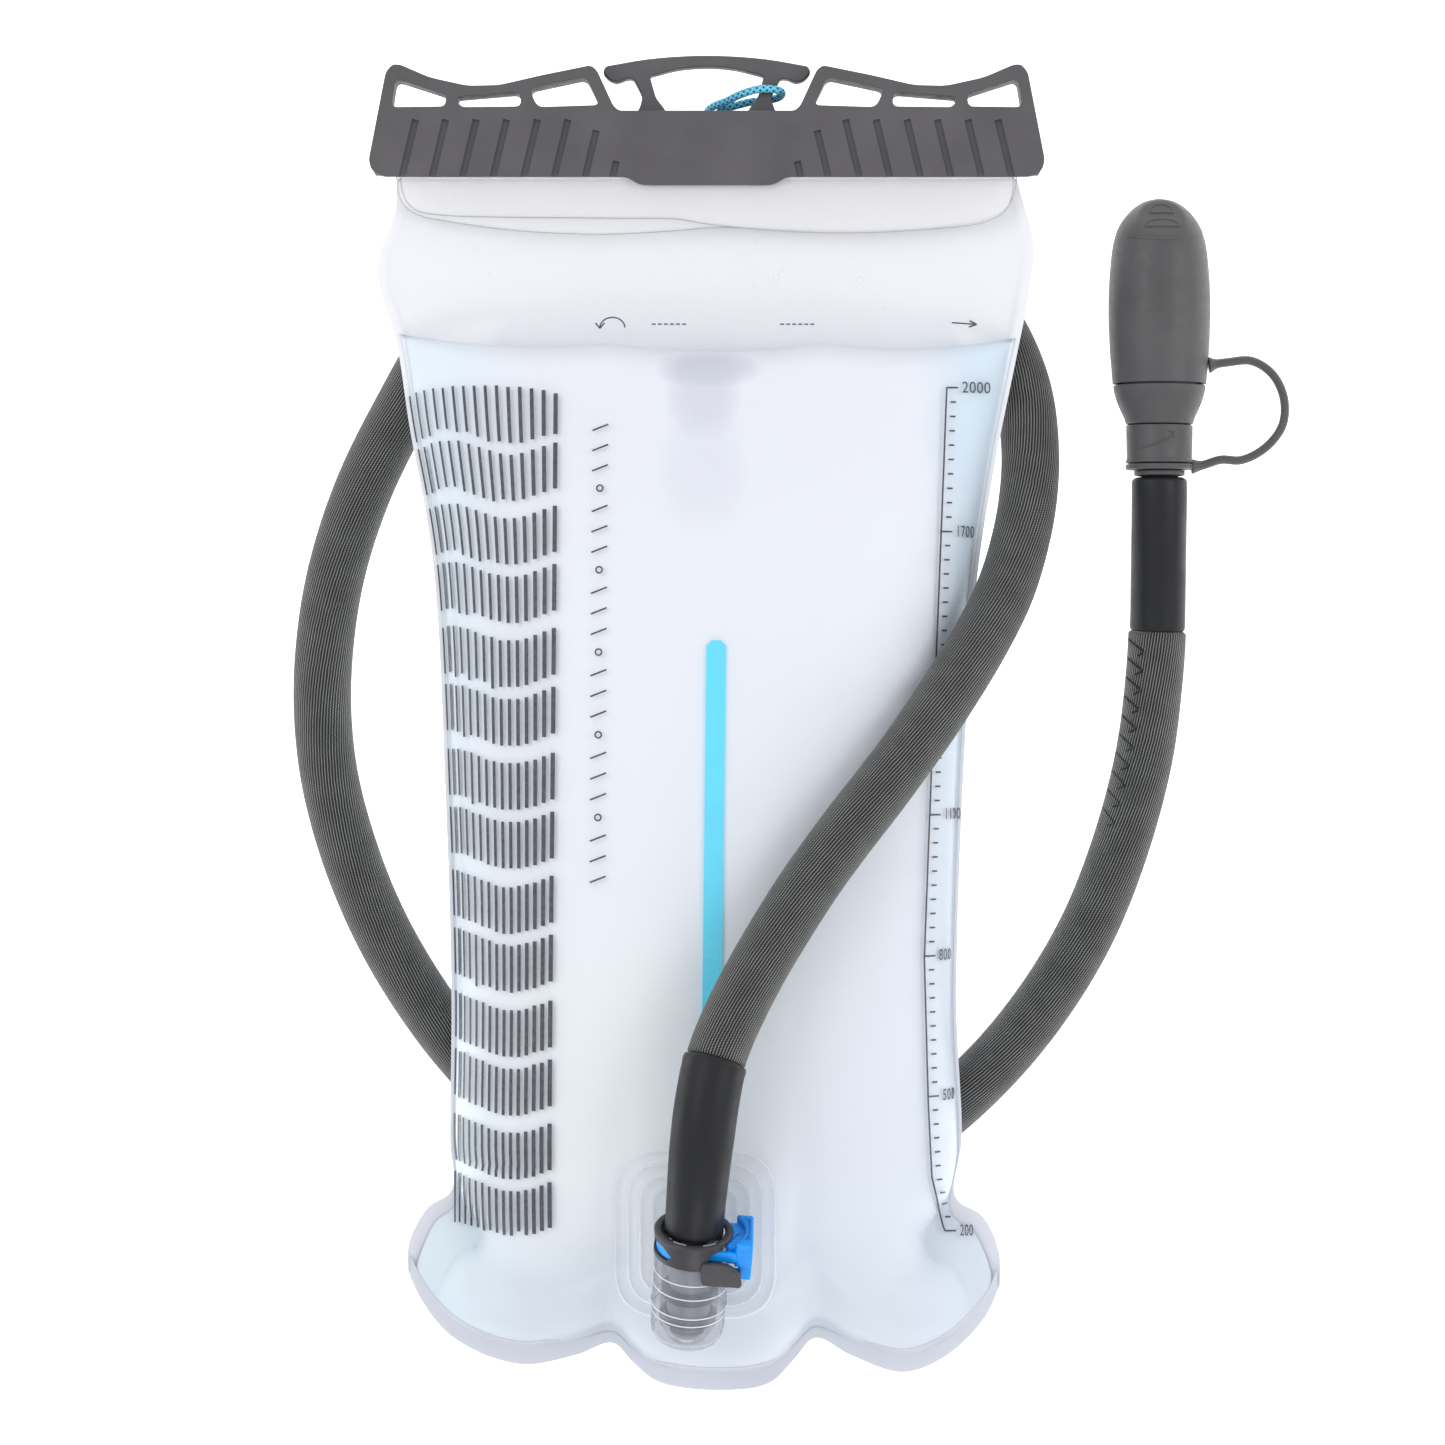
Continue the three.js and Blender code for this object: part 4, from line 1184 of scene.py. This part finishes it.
def rounded_loop(cx, cy, half_x, half_y, radius):
    """Points of a rounded rectangle, evenly spread."""
    loop = np.array(rounded(box(-half_x, -half_y, half_x, half_y), radius, 10)) + (cx, cy)
    closed = np.vstack([loop, loop[:1]])
    along = np.concatenate([[0], np.cumsum(np.linalg.norm(np.diff(closed, axis=0), axis=1))])
    even = np.linspace(0, along[-1], 121)[:-1]
    return np.stack([np.interp(even, along, closed[:, k]) for k in (0, 1)], -1)


def build_welds(tree):
    """Raised weld lines round the outlet."""
    bands = []
    for k in range(4):
        grow = 3.6 * k
        loop = rounded_loop(-3.3, -146.5, 12.2 + grow, 13.5 + grow, 5 + 0.8 * grow)
        bands.append(ribbon(tree, loop, 0.55, 0.12, 0.3, closed=True))
    patch = bands_object("weld_rings", bands)
    dress(patch, RIDGE_FILM, "clear_film", "bag", "weld_patch")


def build_drops(tree):
    """Droplets on the neck's film, above the water."""
    source = random.Random(7)
    drops = []
    for _ in range(16):
        x, y = source.uniform(-74, 78), source.uniform(117, 141)
        size = source.choice((0.35, 0.45, 0.6, 0.9))
        centre = drop_on(tree, [(x, y)], 0.1)[0]
        angles = np.linspace(-0.4, math.pi / 2, 7)
        profile = [(size * math.cos(a), 0.55 * size * math.sin(a)) for a in angles]
        place = Matrix.Translation(Vector(centre) * MM) @ Matrix.Rotation(math.pi / 2, 4, "X")
        drops.append(lathe("drop", profile, place, 16, 0))
    dress(joined("water_drops", drops, soft=True), DROP, "water", "bag")


# ---- the mouth ----
BACK_LIP_EDGE = [
    (-89.5, 163.4), (-89.6, 155), (-87.5, 149.5), (-82, 146.4), (-78.4, 145.7), (-55.5, 142.5),
    (-31.2, 141.4), (-8.3, 142.5), (3.3, 143.4), (20, 142.8), (42.6, 142.2), (68, 143.6),
    (81.5, 146), (87.5, 150), (89.5, 156), (89.8, 163.4),
]
FRONT_LIP_EDGE = [
    (-88.6, 163.4), (-88.4, 156), (-87, 151), (-84, 148.2), (-78, 147), (-59.3, 146.3),
    (-30, 146), (-8.3, 145.7), (-0.8, 144.4), (17.1, 142.6), (42.6, 141.7), (68.1, 143.1),
    (80.8, 145), (86.4, 148.2), (88.4, 153), (88.6, 163.4),
]
LIP_TOP_Y = 164.5


def build_lip(name, outline, height):
    """One lip of the mouth: a film that hangs from the slider, with a thin grey tube along its cut edge,
    painted shade for the dark line the edge shows.
    """
    edge = Line(outline, 14).at(np.linspace(0, 1, 181))
    rows = 14
    s, t = np.meshgrid(np.arange(181), np.linspace(0, 1, rows + 1))
    foot = edge[s.ravel()]
    top = np.stack([foot[:, 0] * 0.995, np.full(len(foot), LIP_TOP_Y)], -1)
    down = t.ravel()
    plan = lerp(top, foot[:, :2], down[:, None])
    wave = 0.35 * np.sin(plan[:, 0] * 0.13 + 1.1) * down
    z = height - 0.5 * down ** 2 + wave
    cloud = np.column_stack([plan, z])
    made = thicken(mesh_object(name, cloud, grid_faces(180, rows)), 0.4, 0.0)
    rim = tube(name + "_rim", np.column_stack([edge[:, :2], z[-181:]]), 0.13, 8)
    return made, rim


def build_roll():
    """Both films rolled over inside the slider's channel."""
    def surface(s, t):
        turn = TURN * t
        return np.stack([-88 + 176 * s, 168.3 + 4.2 * np.cos(turn), 28.2 + 4.2 * np.sin(turn)], -1)
    dress(grid_object("mouth_roll", surface, 8, 24), BACK_FILM, "clear_film", "bag", "mouth_fold")


def build_mouth():
    """The two lips, the roll inside the slider, and the tab behind it."""
    lips = (("back", BACK_LIP_EDGE, 32.6, 0.0235), ("front", FRONT_LIP_EDGE, 33.5, 0.0205))
    for side, outline, height, depth in lips:
        lip, rim = build_lip("lip_" + side, outline, height)
        dress(lip, LIP_FILM, "clear_film", "bag", side + "_lip")
        # the rim tube: painted shade along the lip's cut edge
        dress(rim, EDGE_SHADE_FILM, "clear_film", "bag")
    build_roll()
    paint(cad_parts["tether_tab"], RIDGE_FILM)


# ---- slider ----
WING_OPENINGS = [
    [(75.2, 181.4), (75.6, 178), (91.2, 177.8), (89.9, 186.1)],
    [(54.1, 182.3), (53.5, 178), (71.1, 177.8), (72.6, 180.7)],
    [(34.9, 186.6), (30.9, 178.4), (48.9, 177.8), (51.3, 183.1)],
]
GROOVE_X = (40.1, 48.9, 57.8, 66.6, 75.4, 84.1)
GROOVE_LEAN = 3.9


def slider_outline():
    """The slider from the front: the plate, with a wing at each side and the handle's gap between."""
    right = [
        (19.3, 155.4), (23, 157.8), (93.2, 157.8), (95.5, 158.4), (97.1, 160.1), (97.7, 162.6), (92.8, 188),
        (90.8, 190.2),
        (88.6, 190.1), (80, 186.4), (69.1, 184), (60, 184.2), (47, 187.2), (33.6, 189.9), (31.8, 188.6),
        (27, 178.2), (25.4, 176.8),
    ]
    return rounded(right + mirrored(right), 2.2, 5)


def groove_outline(x, top, side):
    """A slanted groove with a round head, open at the slider's lower edge."""
    foot = x + GROOVE_LEAN * (top - 158.4) / 16
    shape = [(x - 1, top - 0.5), (x + 1, top), (foot + 1.7, 155), (foot - 0.3, 155)]
    shape = rounded(shape, 0.35, 3)
    return [(side * a, b) for a, b in shape]


def curved(points, count, per_span=28):
    """A smooth curve through plan points, as that many points."""
    return [tuple(p) for p in Line(points, per_span).at(np.linspace(0, 1, count))[:, :2]]


def handle_outline():
    """The handle: an arched grip on two posts, its two ends reaching out past them."""
    grip = curved([(29.4, 190.3), (16, 192.5), (0, 193.4), (-16, 192.5), (-29.4, 190.3)], 33)
    left_end = [(-30.2, 188.4), (-28.4, 186.2), (-25.9, 185.4), (-23.2, 186.6)]
    left_post = [
        (-21.3, 186.6), (-18.6, 181.4), (-19.4, 178.4), (-20.6, 176.2), (-11.4, 176.2), (-12.4, 178.2),
        (-14.7, 181), (-16.5, 187.3),
    ]
    arch = curved([(-16.5, 187.3), (-8, 189.4), (0, 190), (8, 189.4), (16.5, 187.3)], 25)[1:-1]
    loop = grip + left_end + left_post + arch + mirrored(left_post) + mirrored(left_end)
    return rounded(loop, 1.3, 4)


def groove_outlines():
    made = []
    for side in (-1, 1):
        for x in GROOVE_X:
            made.append(groove_outline(x, 174.4, side))
        made.append(groove_outline(31.9, 171.3, side))
        made.append(groove_outline(26.1, 162.4, side))
    return made


def trimmed(thing, *corners):
    """The thing without what lies in a rectangle between two corners."""
    return cut(thing, slab("trim", [box(*corners)], 10, 50, 0.1, 1))


def build_slider():
    """The slider: a front plate with grooves, the channel behind it, two open wings and the handle."""
    holes = [rounded(hole, 2, 5) for hole in WING_OPENINGS]
    holes += [[(-x, y) for x, y in hole] for hole in holes]
    outline = slider_outline()
    skin_z = SLIDER_FRONT_Z - GROOVE_DEPTH
    core = slab("slider_core", [outline] + holes, skin_z - 2.2, skin_z, 0.25, 2)
    skin = slab("slider_skin", [outline] + holes, skin_z - 0.1, SLIDER_FRONT_Z, 0.28, 3)
    skin = cut(skin, slab("grooves", groove_outlines(), skin_z - 0.2, SLIDER_FRONT_Z + 0.5, 0.05, 1))
    wing = slab("slider_wing", [outline] + holes, 24, skin_z - 2.0, 0.4, 3)
    wing = trimmed(wing, -99, 140, 99, 176.6)
    back = slab("slider_back", [outline], SLIDER_BACK_Z, SLIDER_BACK_Z + 2.0, 0.5, 3)
    back = trimmed(back, -99, 176.9, 99, 200)
    back = trimmed(back, -99, 150, 99, 159.4)
    wall = rounded(box(-94.6, 174.2, 94.6, 176.9), 0.8)
    wall = slab("slider_wall", [wall], SLIDER_BACK_Z + 0.4, skin_z - 0.4, 0.4, 2)
    handle = slab("slider_handle", [handle_outline()], 24.5, 30.5, 0.7, 4)
    made = level(joined("slider_body", [core, skin, wing, back, wall, handle]))
    dress(made, GREY, "grey_moulding", "slider", "slider")


# ---- outlet: every piece on one slanted axis, local +Y being the way out ----
def outlet_place():
    axis = Vector(OUTLET_AXIS).normalized()
    turn = Vector((0, 1, 0)).rotation_difference(axis).to_matrix().to_4x4()
    return Matrix.Translation(Vector(COLLAR) * MM) @ turn


OUTLET = outlet_place()


def upright_slab(name, outline, low, high, bevel=0.5, steps=4):
    """A slab drawn in local x and z, standing between two heights along the outlet's axis."""
    flat = Matrix.Rotation(math.pi / 2, 4, "X")
    return slab(name, [outline], -high, -low, bevel, steps, OUTLET @ flat)


def facing_slab(name, outline, low, high, bevel=0.5, steps=4):
    """A slab drawn in local x and y, between two depths along local z."""
    return slab(name, [outline], low, high, bevel, steps, OUTLET)


SOCKET_PROFILE = [
    (2.2, -37.6), (6.2, -37.1), (9.0, -35.4), (10.3, -33.2), (SOCKET_R, -30.5), (SOCKET_R, -25.2),
    (10.95, -24.6), (10.95, -23.6), (SOCKET_R, -23), (SOCKET_R, -8), (8.3, -8), (8.3, -30.4),
    (7.2, -32.6), (5.6, -34), (5.6, -35.6), (2.2, -36.6), (2.2, -37.6),
]
PLUG_PROFILE = [
    (3.4, -31), (6.2, -31), (6.2, -30), (5.4, -30), (5.4, -27), (6.2, -27), (6.2, -22.2), (5.4, -22.2),
    (5.4, -18.4), (6.2, -18.4), (6.2, -2), (2.8, -2), (2.8, -31), (3.4, -31),
]
POPPET_PROFILE = [(0, -34.6), (4.6, -34.6), (5, -34), (5, -33.2), (2, -32.4), (0, -32)]
# radius and height of each painted highlight ring on the socket: a thin white ring for the glints along the
# socket's ridges and edges
SOCKET_GLINT_RINGS = ((9.7, -33.6), (10.6, -26.6), (10.95, -23.9), (10.6, -17.8), (10.6, -13.2))


def build_outlet():
    """The clear socket, with the hose's plug, its two O-rings and the shut-off poppet inside."""
    socket = lathe("socket_clear", SOCKET_PROFILE, OUTLET, 96)
    dress(socket, CLEAR, "clear_moulding", "bag", "outlet_socket")
    # thin white rings on the clear wall, painted highlights for its glints
    rims = []
    for reach, low in SOCKET_GLINT_RINGS:
        rims.append(lathe("rim", ring(reach - 0.2, reach + 0.12, low, low + 0.3), OUTLET, 96, 0.1))
    dress(joined("socket_rims", rims), SHINE, "clear_moulding", "bag")
    plug = lathe("plug_body", PLUG_PROFILE, OUTLET, 64, 0.2)
    dress(plug, PLUG, "grey_moulding", "bag", "hose_plug")
    for side, low, high in (("upper", -21.9, -18.7), ("lower", -29.7, -27.3)):
        seal = lathe("ring_" + side, ring(5.8, 8.15, low, high), OUTLET, 64, 0.9)
        dress(seal, SEAL, "seal_rubber", "bag", side + "_o_ring")
    poppet = lathe("poppet", POPPET_PROFILE, OUTLET, 48, 0.3)
    dress(poppet, PLUG, "grey_moulding", "bag", "shutoff_poppet")


MOUTH_PROFILE = [
    (8.9, -1.1), (11.2, -1.1), (11.3, -0.6), (10.7, 0), (9.5, 0), (8.9, -0.5), (8.9, -1.1),
]


def collar_band():
    """The band round the socket, cut by two windows and by the button's pocket."""
    band = lathe("collar_band", ring(9.0, 11.0, -7.8, -0.8), OUTLET, 96, 0.3)
    left = [(-14, -2.6), (-14, -6.4), (-7.2, -6.4), (-5.6, -4.9), (-8.4, -2.6)]
    band = cut(band, facing_slab("left_window", left, -2, 14, 0.2, 2))
    front = [(2.6, -5.9), (20, -5.9), (20, -2.4), (6.0, -2.4)]
    band = cut(band, facing_slab("front_window", front, 1, 14, 0.2, 2))
    return cut(band, upright_slab("pocket", box(6.2, -6.9, 20, 6.9), -13.4, 4, 0.2, 2))


def collar_plates():
    """The plate in front of the button, its cheek, and the floor and rear wall of the pocket."""
    front = [(3.0, -12.3), (14.0, -12.3), (14.4, -11), (13.2, -7.2), (10.6, -5.0), (6.5, -4.6), (2.2, -5.0)]
    plate = facing_slab("collar_plate", rounded(front, 1.6, 6), 9.7, 11.2)
    cheek = facing_slab("collar_cheek", rounded(box(5, -12.6, 14, -7.7), 1.4, 5), 7.2, 10.4)
    floor = upright_slab("collar_floor", rounded(box(4, -8, 14.4, 7.4), 1.5), -14.3, -12.9)
    rear = facing_slab("collar_rear", rounded(box(2.4, -15.2, 13.6, -3), 1.6, 6), -8.5, -7.0)
    clearance = lathe("socket_clearance", ring(0.01, 10.8, -16, -8.1), OUTLET, 64, 0)
    return [plate, cheek, cut(joined("collar_lower", [floor, rear]), clearance)]


def collar_dashes():
    """Two moulded dashes on the mouth's rim."""
    made = []
    for start in (-38, 12):
        angle = np.radians(np.linspace(start, start + 22, 14)) + math.radians(4)
        line = np.stack([9.95 * np.sin(angle), np.full(14, 0.02), 9.95 * np.cos(angle)], -1)
        made.append(settle(tube("collar_dash", line, 0.28, 8), OUTLET))
    return made


def build_collar():
    """The dark collar: a flanged mouth, a band with two windows, and the plates round the button."""
    mouth = lathe("collar_mouth", MOUTH_PROFILE, OUTLET, 96, 0.35)
    made = level(joined("collar_body", [mouth, collar_band()] + collar_plates()))
    dress(made, DARK, "dark_moulding", "bag", "collar")
    dress(joined("collar_marks", collar_dashes(), soft=True), PLUG, "grey_moulding", "bag")


# the button's inner side, hollowed to clear the collar's mouth when the button is pressed
PAD_HOLLOW = [(12.7, 6.4), (13.6, 5), (14.3, 3), (14.6, 0), (14.3, -3), (13.6, -5)]
BRIM_HOLLOW = [
    (11.9, -7.9), (12.6, -6.5), (13.6, -5), (14.3, -3), (14.6, 0), (14.3, 3), (13.6, 5), (12.6, 6.5),
    (11.9, 7.9),
]


def build_button():
    """The blue release: a hollowed block, and its latch ring, which shows in the collar's left window."""
    top = upright_slab("button_top", rounded(box(9.5, -6.4, 16.9, 6.4), 1.2, 6), -7.3, -1.3, 0.4, 5)
    bore = [(x, -3.8, 0) for x in np.linspace(8.8, 14.7, 8)]
    top = cut(top, settle(tube("spring_bore", bore, 2.5, 32), OUTLET))
    pad = rounded([(12.7, -6.4), (16.9, -6.4), (16.9, 6.4)] + PAD_HOLLOW, 0.9, 4)
    pad = upright_slab("button_pad", pad, -12.6, 0.6, 0.9, 5)
    brim = rounded([(16.9, -7.9)] + BRIM_HOLLOW + [(16.9, 7.9)], 0.9, 4)
    brim = upright_slab("button_brim", brim, -2.7, 0.6, 0.7, 5)
    front = rounded(box(11.9, 5.6, 16.9, 7.9), 0.7, 4)
    front = upright_slab("button_front", front, -7.3, -1.4, 0.5, 4)
    wing = rounded([(3.2, -5.7), (12.4, -5.7), (12.4, -2.6), (6.6, -2.6)], 0.6)
    wing = facing_slab("button_wing", wing, 6.9, 8.3, 0.3)
    latch = lathe("button_ring", ring(9.3, 10.3, -6.2, -2.8), OUTLET, 72, 0.3)
    left = facing_slab("left_part", box(-16, -10, -4, 2), -3, 14, 0.2, 2)
    latch = cut(latch, left, "INTERSECT")
    made = level(joined("button_body", [top, pad, brim, front, wing, latch]))
    dress(made, BLUE, "blue_moulding", "release_button", "release_button")
    paint(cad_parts["button_spring"], STEEL)


# ---- bite valve, along +Y ----
VALVE = Matrix.Translation(Vector((VALVE_X, 0, VALVE_Z)) * MM)


STEM_PROFILE = [
    (1.8, 68.6), (2.5, 68.6), (2.7, 71.4), (7.4, 72.3), (7.4, 73.6), (5.4, 73.6), (5.4, 79), (4.5, 79),
    (4.5, 81.4), (5.4, 81.4), (5.4, 85), (1.8, 85), (1.8, 68.6),
]
NECK_PROFILE = [
    (6, 75.9), (9.8, 75.9), (9.8, 76.6), (9.55, 77.1), (9.75, 86.9), (6.4, 86.9), (6.4, 86), (6, 86),
    (6, 75.9),
]
CUP_PROFILE = [
    (4, 87.2), (9.8, 87.2), (10.3, 89.0), (11.4, 91.3), (12.5, 93.9), (13.2, 96.4), (13.55, 98.6),
    (11.9, 98.6), (11.6, 95), (9.6, 90.4), (4, 89.4), (4, 87.2),
]
MOUTHPIECE_PROFILE = [
    (3, 90), (8.8, 91), (10.9, 95.4), (10.9, 100), (9, 103), (8.6, 118), (9.6, 128), (8.4, 134),
    (0.8, 136), (0.8, 133), (6, 130), (6, 104), (3, 98), (3, 90),
]


def build_valve():
    """The fixed stem with its O-ring, and on it the leash ring, neck, cup and mouthpiece, which twist."""
    stem = lathe("stem", STEM_PROFILE, VALVE, 48, 0.2)
    dress(stem, VALVE_GREY, "valve_grey", "bag", "valve_stem")
    seal = lathe("stem_ring", ring(4.8, 5.7, 79.3, 81.1), VALVE, 48, 0.7)
    dress(seal, SEAL, "seal_rubber", "bag", "valve_o_ring")
    band = lathe("leash_band", ring(5.8, 9.9, 73.9, 75.6), VALVE, 80, 0.6)
    dress(band, VALVE_GREY, "valve_grey", "valve_head", "leash_ring")
    neck = lathe("neck", NECK_PROFILE, VALVE, 80, 0.3)
    made = crisp(joined("neck_body", [neck, neck_arrow()]), 30)
    dress(made, VALVE_GREY, "valve_grey", "valve_head", "valve_neck")
    cup = lathe("cup", CUP_PROFILE, VALVE, 96, 0.5)
    dress(cup, VALVE_GREY, "valve_grey", "valve_head", "valve_cup")
    mouth = lathe("mouthpiece", MOUTHPIECE_PROFILE, VALVE, 64, 1.2)
    dress(mouth, MOUTHPIECE, "soft_mouthpiece", "valve_head", "bite_mouthpiece")


def on_neck(x, y):
    """A point on the neck's front, just proud of it."""
    return (x, y, math.sqrt(max(0.0, 9.73 ** 2 - x * x)))


def neck_arrow():
    """A raised curved arrow, which shows the way to twist."""
    bow = [on_neck(x, 80.2 + 0.028 * (x + 7.6) ** 2) for x in np.linspace(-7.6, 2.2, 24)]
    x, y = bow[-1][:2]
    point = on_neck(x + 1.3, y + 1.7)
    strokes = [tube("arrow", line, size, 8) for line, size in (
        (bow, 0.24), ([on_neck(x - 0.3, y + 1.9), point], 0.22),
        ([point, on_neck(x + 1.4, y - 0.1)], 0.22), ([bow[-1], point], 0.24))]
    return settle(joined("arrow", strokes), VALVE)


CAP_PROFILE = [
    (13.7, 99.1), (14.5, 109), (14.9, 120), (14.6, 130), (13.4, 140.5), (11.7, 145.4), (8.3, 149.8),
    (4.6, 152.3), (0, 153.4),
]
CAP_INSIDE = [(12.5, 99.1), (12.7, 122), (12.1, 138), (8, 145), (0, 146)]
CAP_SIDES = 144
CROWN_Y = 137.5
CROWN_SOFT = 0.35


def slant(x, y):
    """Height of the slanted facet across the cap's crown."""
    return 13.4 - 0.8 * (y - 141) - 0.008 * x * x


def crowned(x, y, z):
    """Heights cut back to the facet, with a soft edge where the barrel meets it."""
    roof = slant(x, y)
    gap = z - roof
    softened = np.maximum(0, CROWN_SOFT - np.abs(gap)) ** 2 / (4 * CROWN_SOFT)
    cut_back = np.where(gap > -CROWN_SOFT, np.minimum(z, roof) - softened, z)
    return np.where(y > CROWN_Y, cut_back, z)


def cap_shell():
    """The cap's outside and inside, joined round its open rim."""
    outer = np.array(curved(CAP_PROFILE, 70, 20))
    inner = np.array(CAP_INSIDE)
    x, y, z = turned(outer, CAP_SIDES)
    outside = np.stack([x, y, crowned(x, y, z)], -1).reshape(-1, 3)
    within = np.stack(turned(inner, CAP_SIDES), -1).reshape(-1, 3)
    start = len(outside)
    faces = grid_faces(CAP_SIDES, len(outer) - 1, closed=True)
    faces += grid_faces(CAP_SIDES, len(inner) - 1, start, closed=True)
    for k in range(CAP_SIDES):
        after = (k + 1) % CAP_SIDES
        faces.append([k, after, start + after, start + k])
    return mesh_object("cap_shell", np.vstack([outside, within]), faces)


def cap_ridges():
    """Two arched grip ridges on the facet, and a brow where the facet starts."""
    made = []
    for spot, half, rise in ((144.4, 5.0, 2.2), (148.6, 3.4, 2.6)):
        base = [(v, spot - 0.12 * (v / half) ** 2) for v in np.linspace(-half, half, 15)]
        arch = [(half * math.cos(a), spot + rise * math.sin(a)) for a in np.linspace(0, math.pi, 24)]
        for line, size in ((base, 0.36), (arch, 0.2)):
            points = [(x, y, slant(x, y) + 0.02) for x, y in line]
            made.append(tube("cap_ridge", points, size, 8))
    brow = [(v, 140.4 + 0.01 * v * v, math.sqrt(13.3 ** 2 - v * v)) for v in np.linspace(-10.5, 10.5, 40)]
    size = 0.35 * np.sin(np.linspace(0.15, math.pi - 0.15, 40))
    return made + [tube("cap_brow", brow, size, 10)]


def build_cap():
    """The dust cap: a barrel whose crown is cut back on a slant, with grip ridges on the slant."""
    made = crisp(settle(joined("cap", [cap_shell()] + cap_ridges()), VALVE), 40)
    dress(made, VALVE_GREY, "valve_grey", "dust_cap", "dust_cap")


LEASH_ROUTE = [
    (9.3, 74.9), (12.6, 75.3), (18, 76.9), (24, 76.8), (31, 80.4), (36, 87), (36.4, 95), (33, 102),
    (27, 105.8), (20, 105.4), (14.4, 104.6),
]


def build_leash():
    """The strap from the ring on the neck to the cap, thicker where it meets each of them."""
    share = np.linspace(0, 1, 150)
    ends = 0.9 * np.exp(-(share / 0.03) ** 2) + 1.1 * np.exp(-((1 - share) / 0.025) ** 2)
    strap = settle(tube("leash", Line(LEASH_ROUTE).at(share), 1.3 + ends, 24, 1.35), VALVE)
    strap.data.materials.append(VALVE_GREY)
    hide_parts("cap_leash")
    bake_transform(strap)
    return strap


# ---- the whole object ----
def build():
    set_camera()
    hose, route = build_hose()
    cuffs = build_cuffs()
    build_stitches()
    build_tether()
    set_light()
    set_floor()
    tree = build_bag()
    build_gusset()
    build_water()
    build_strip(tree)
    build_welds(tree)
    build_drops(tree)
    build_marks(tree)
    build_mouth()
    build_slider()
    build_outlet()
    build_collar()
    build_button()
    build_valve()
    build_cap()
    leash = build_leash()


build()
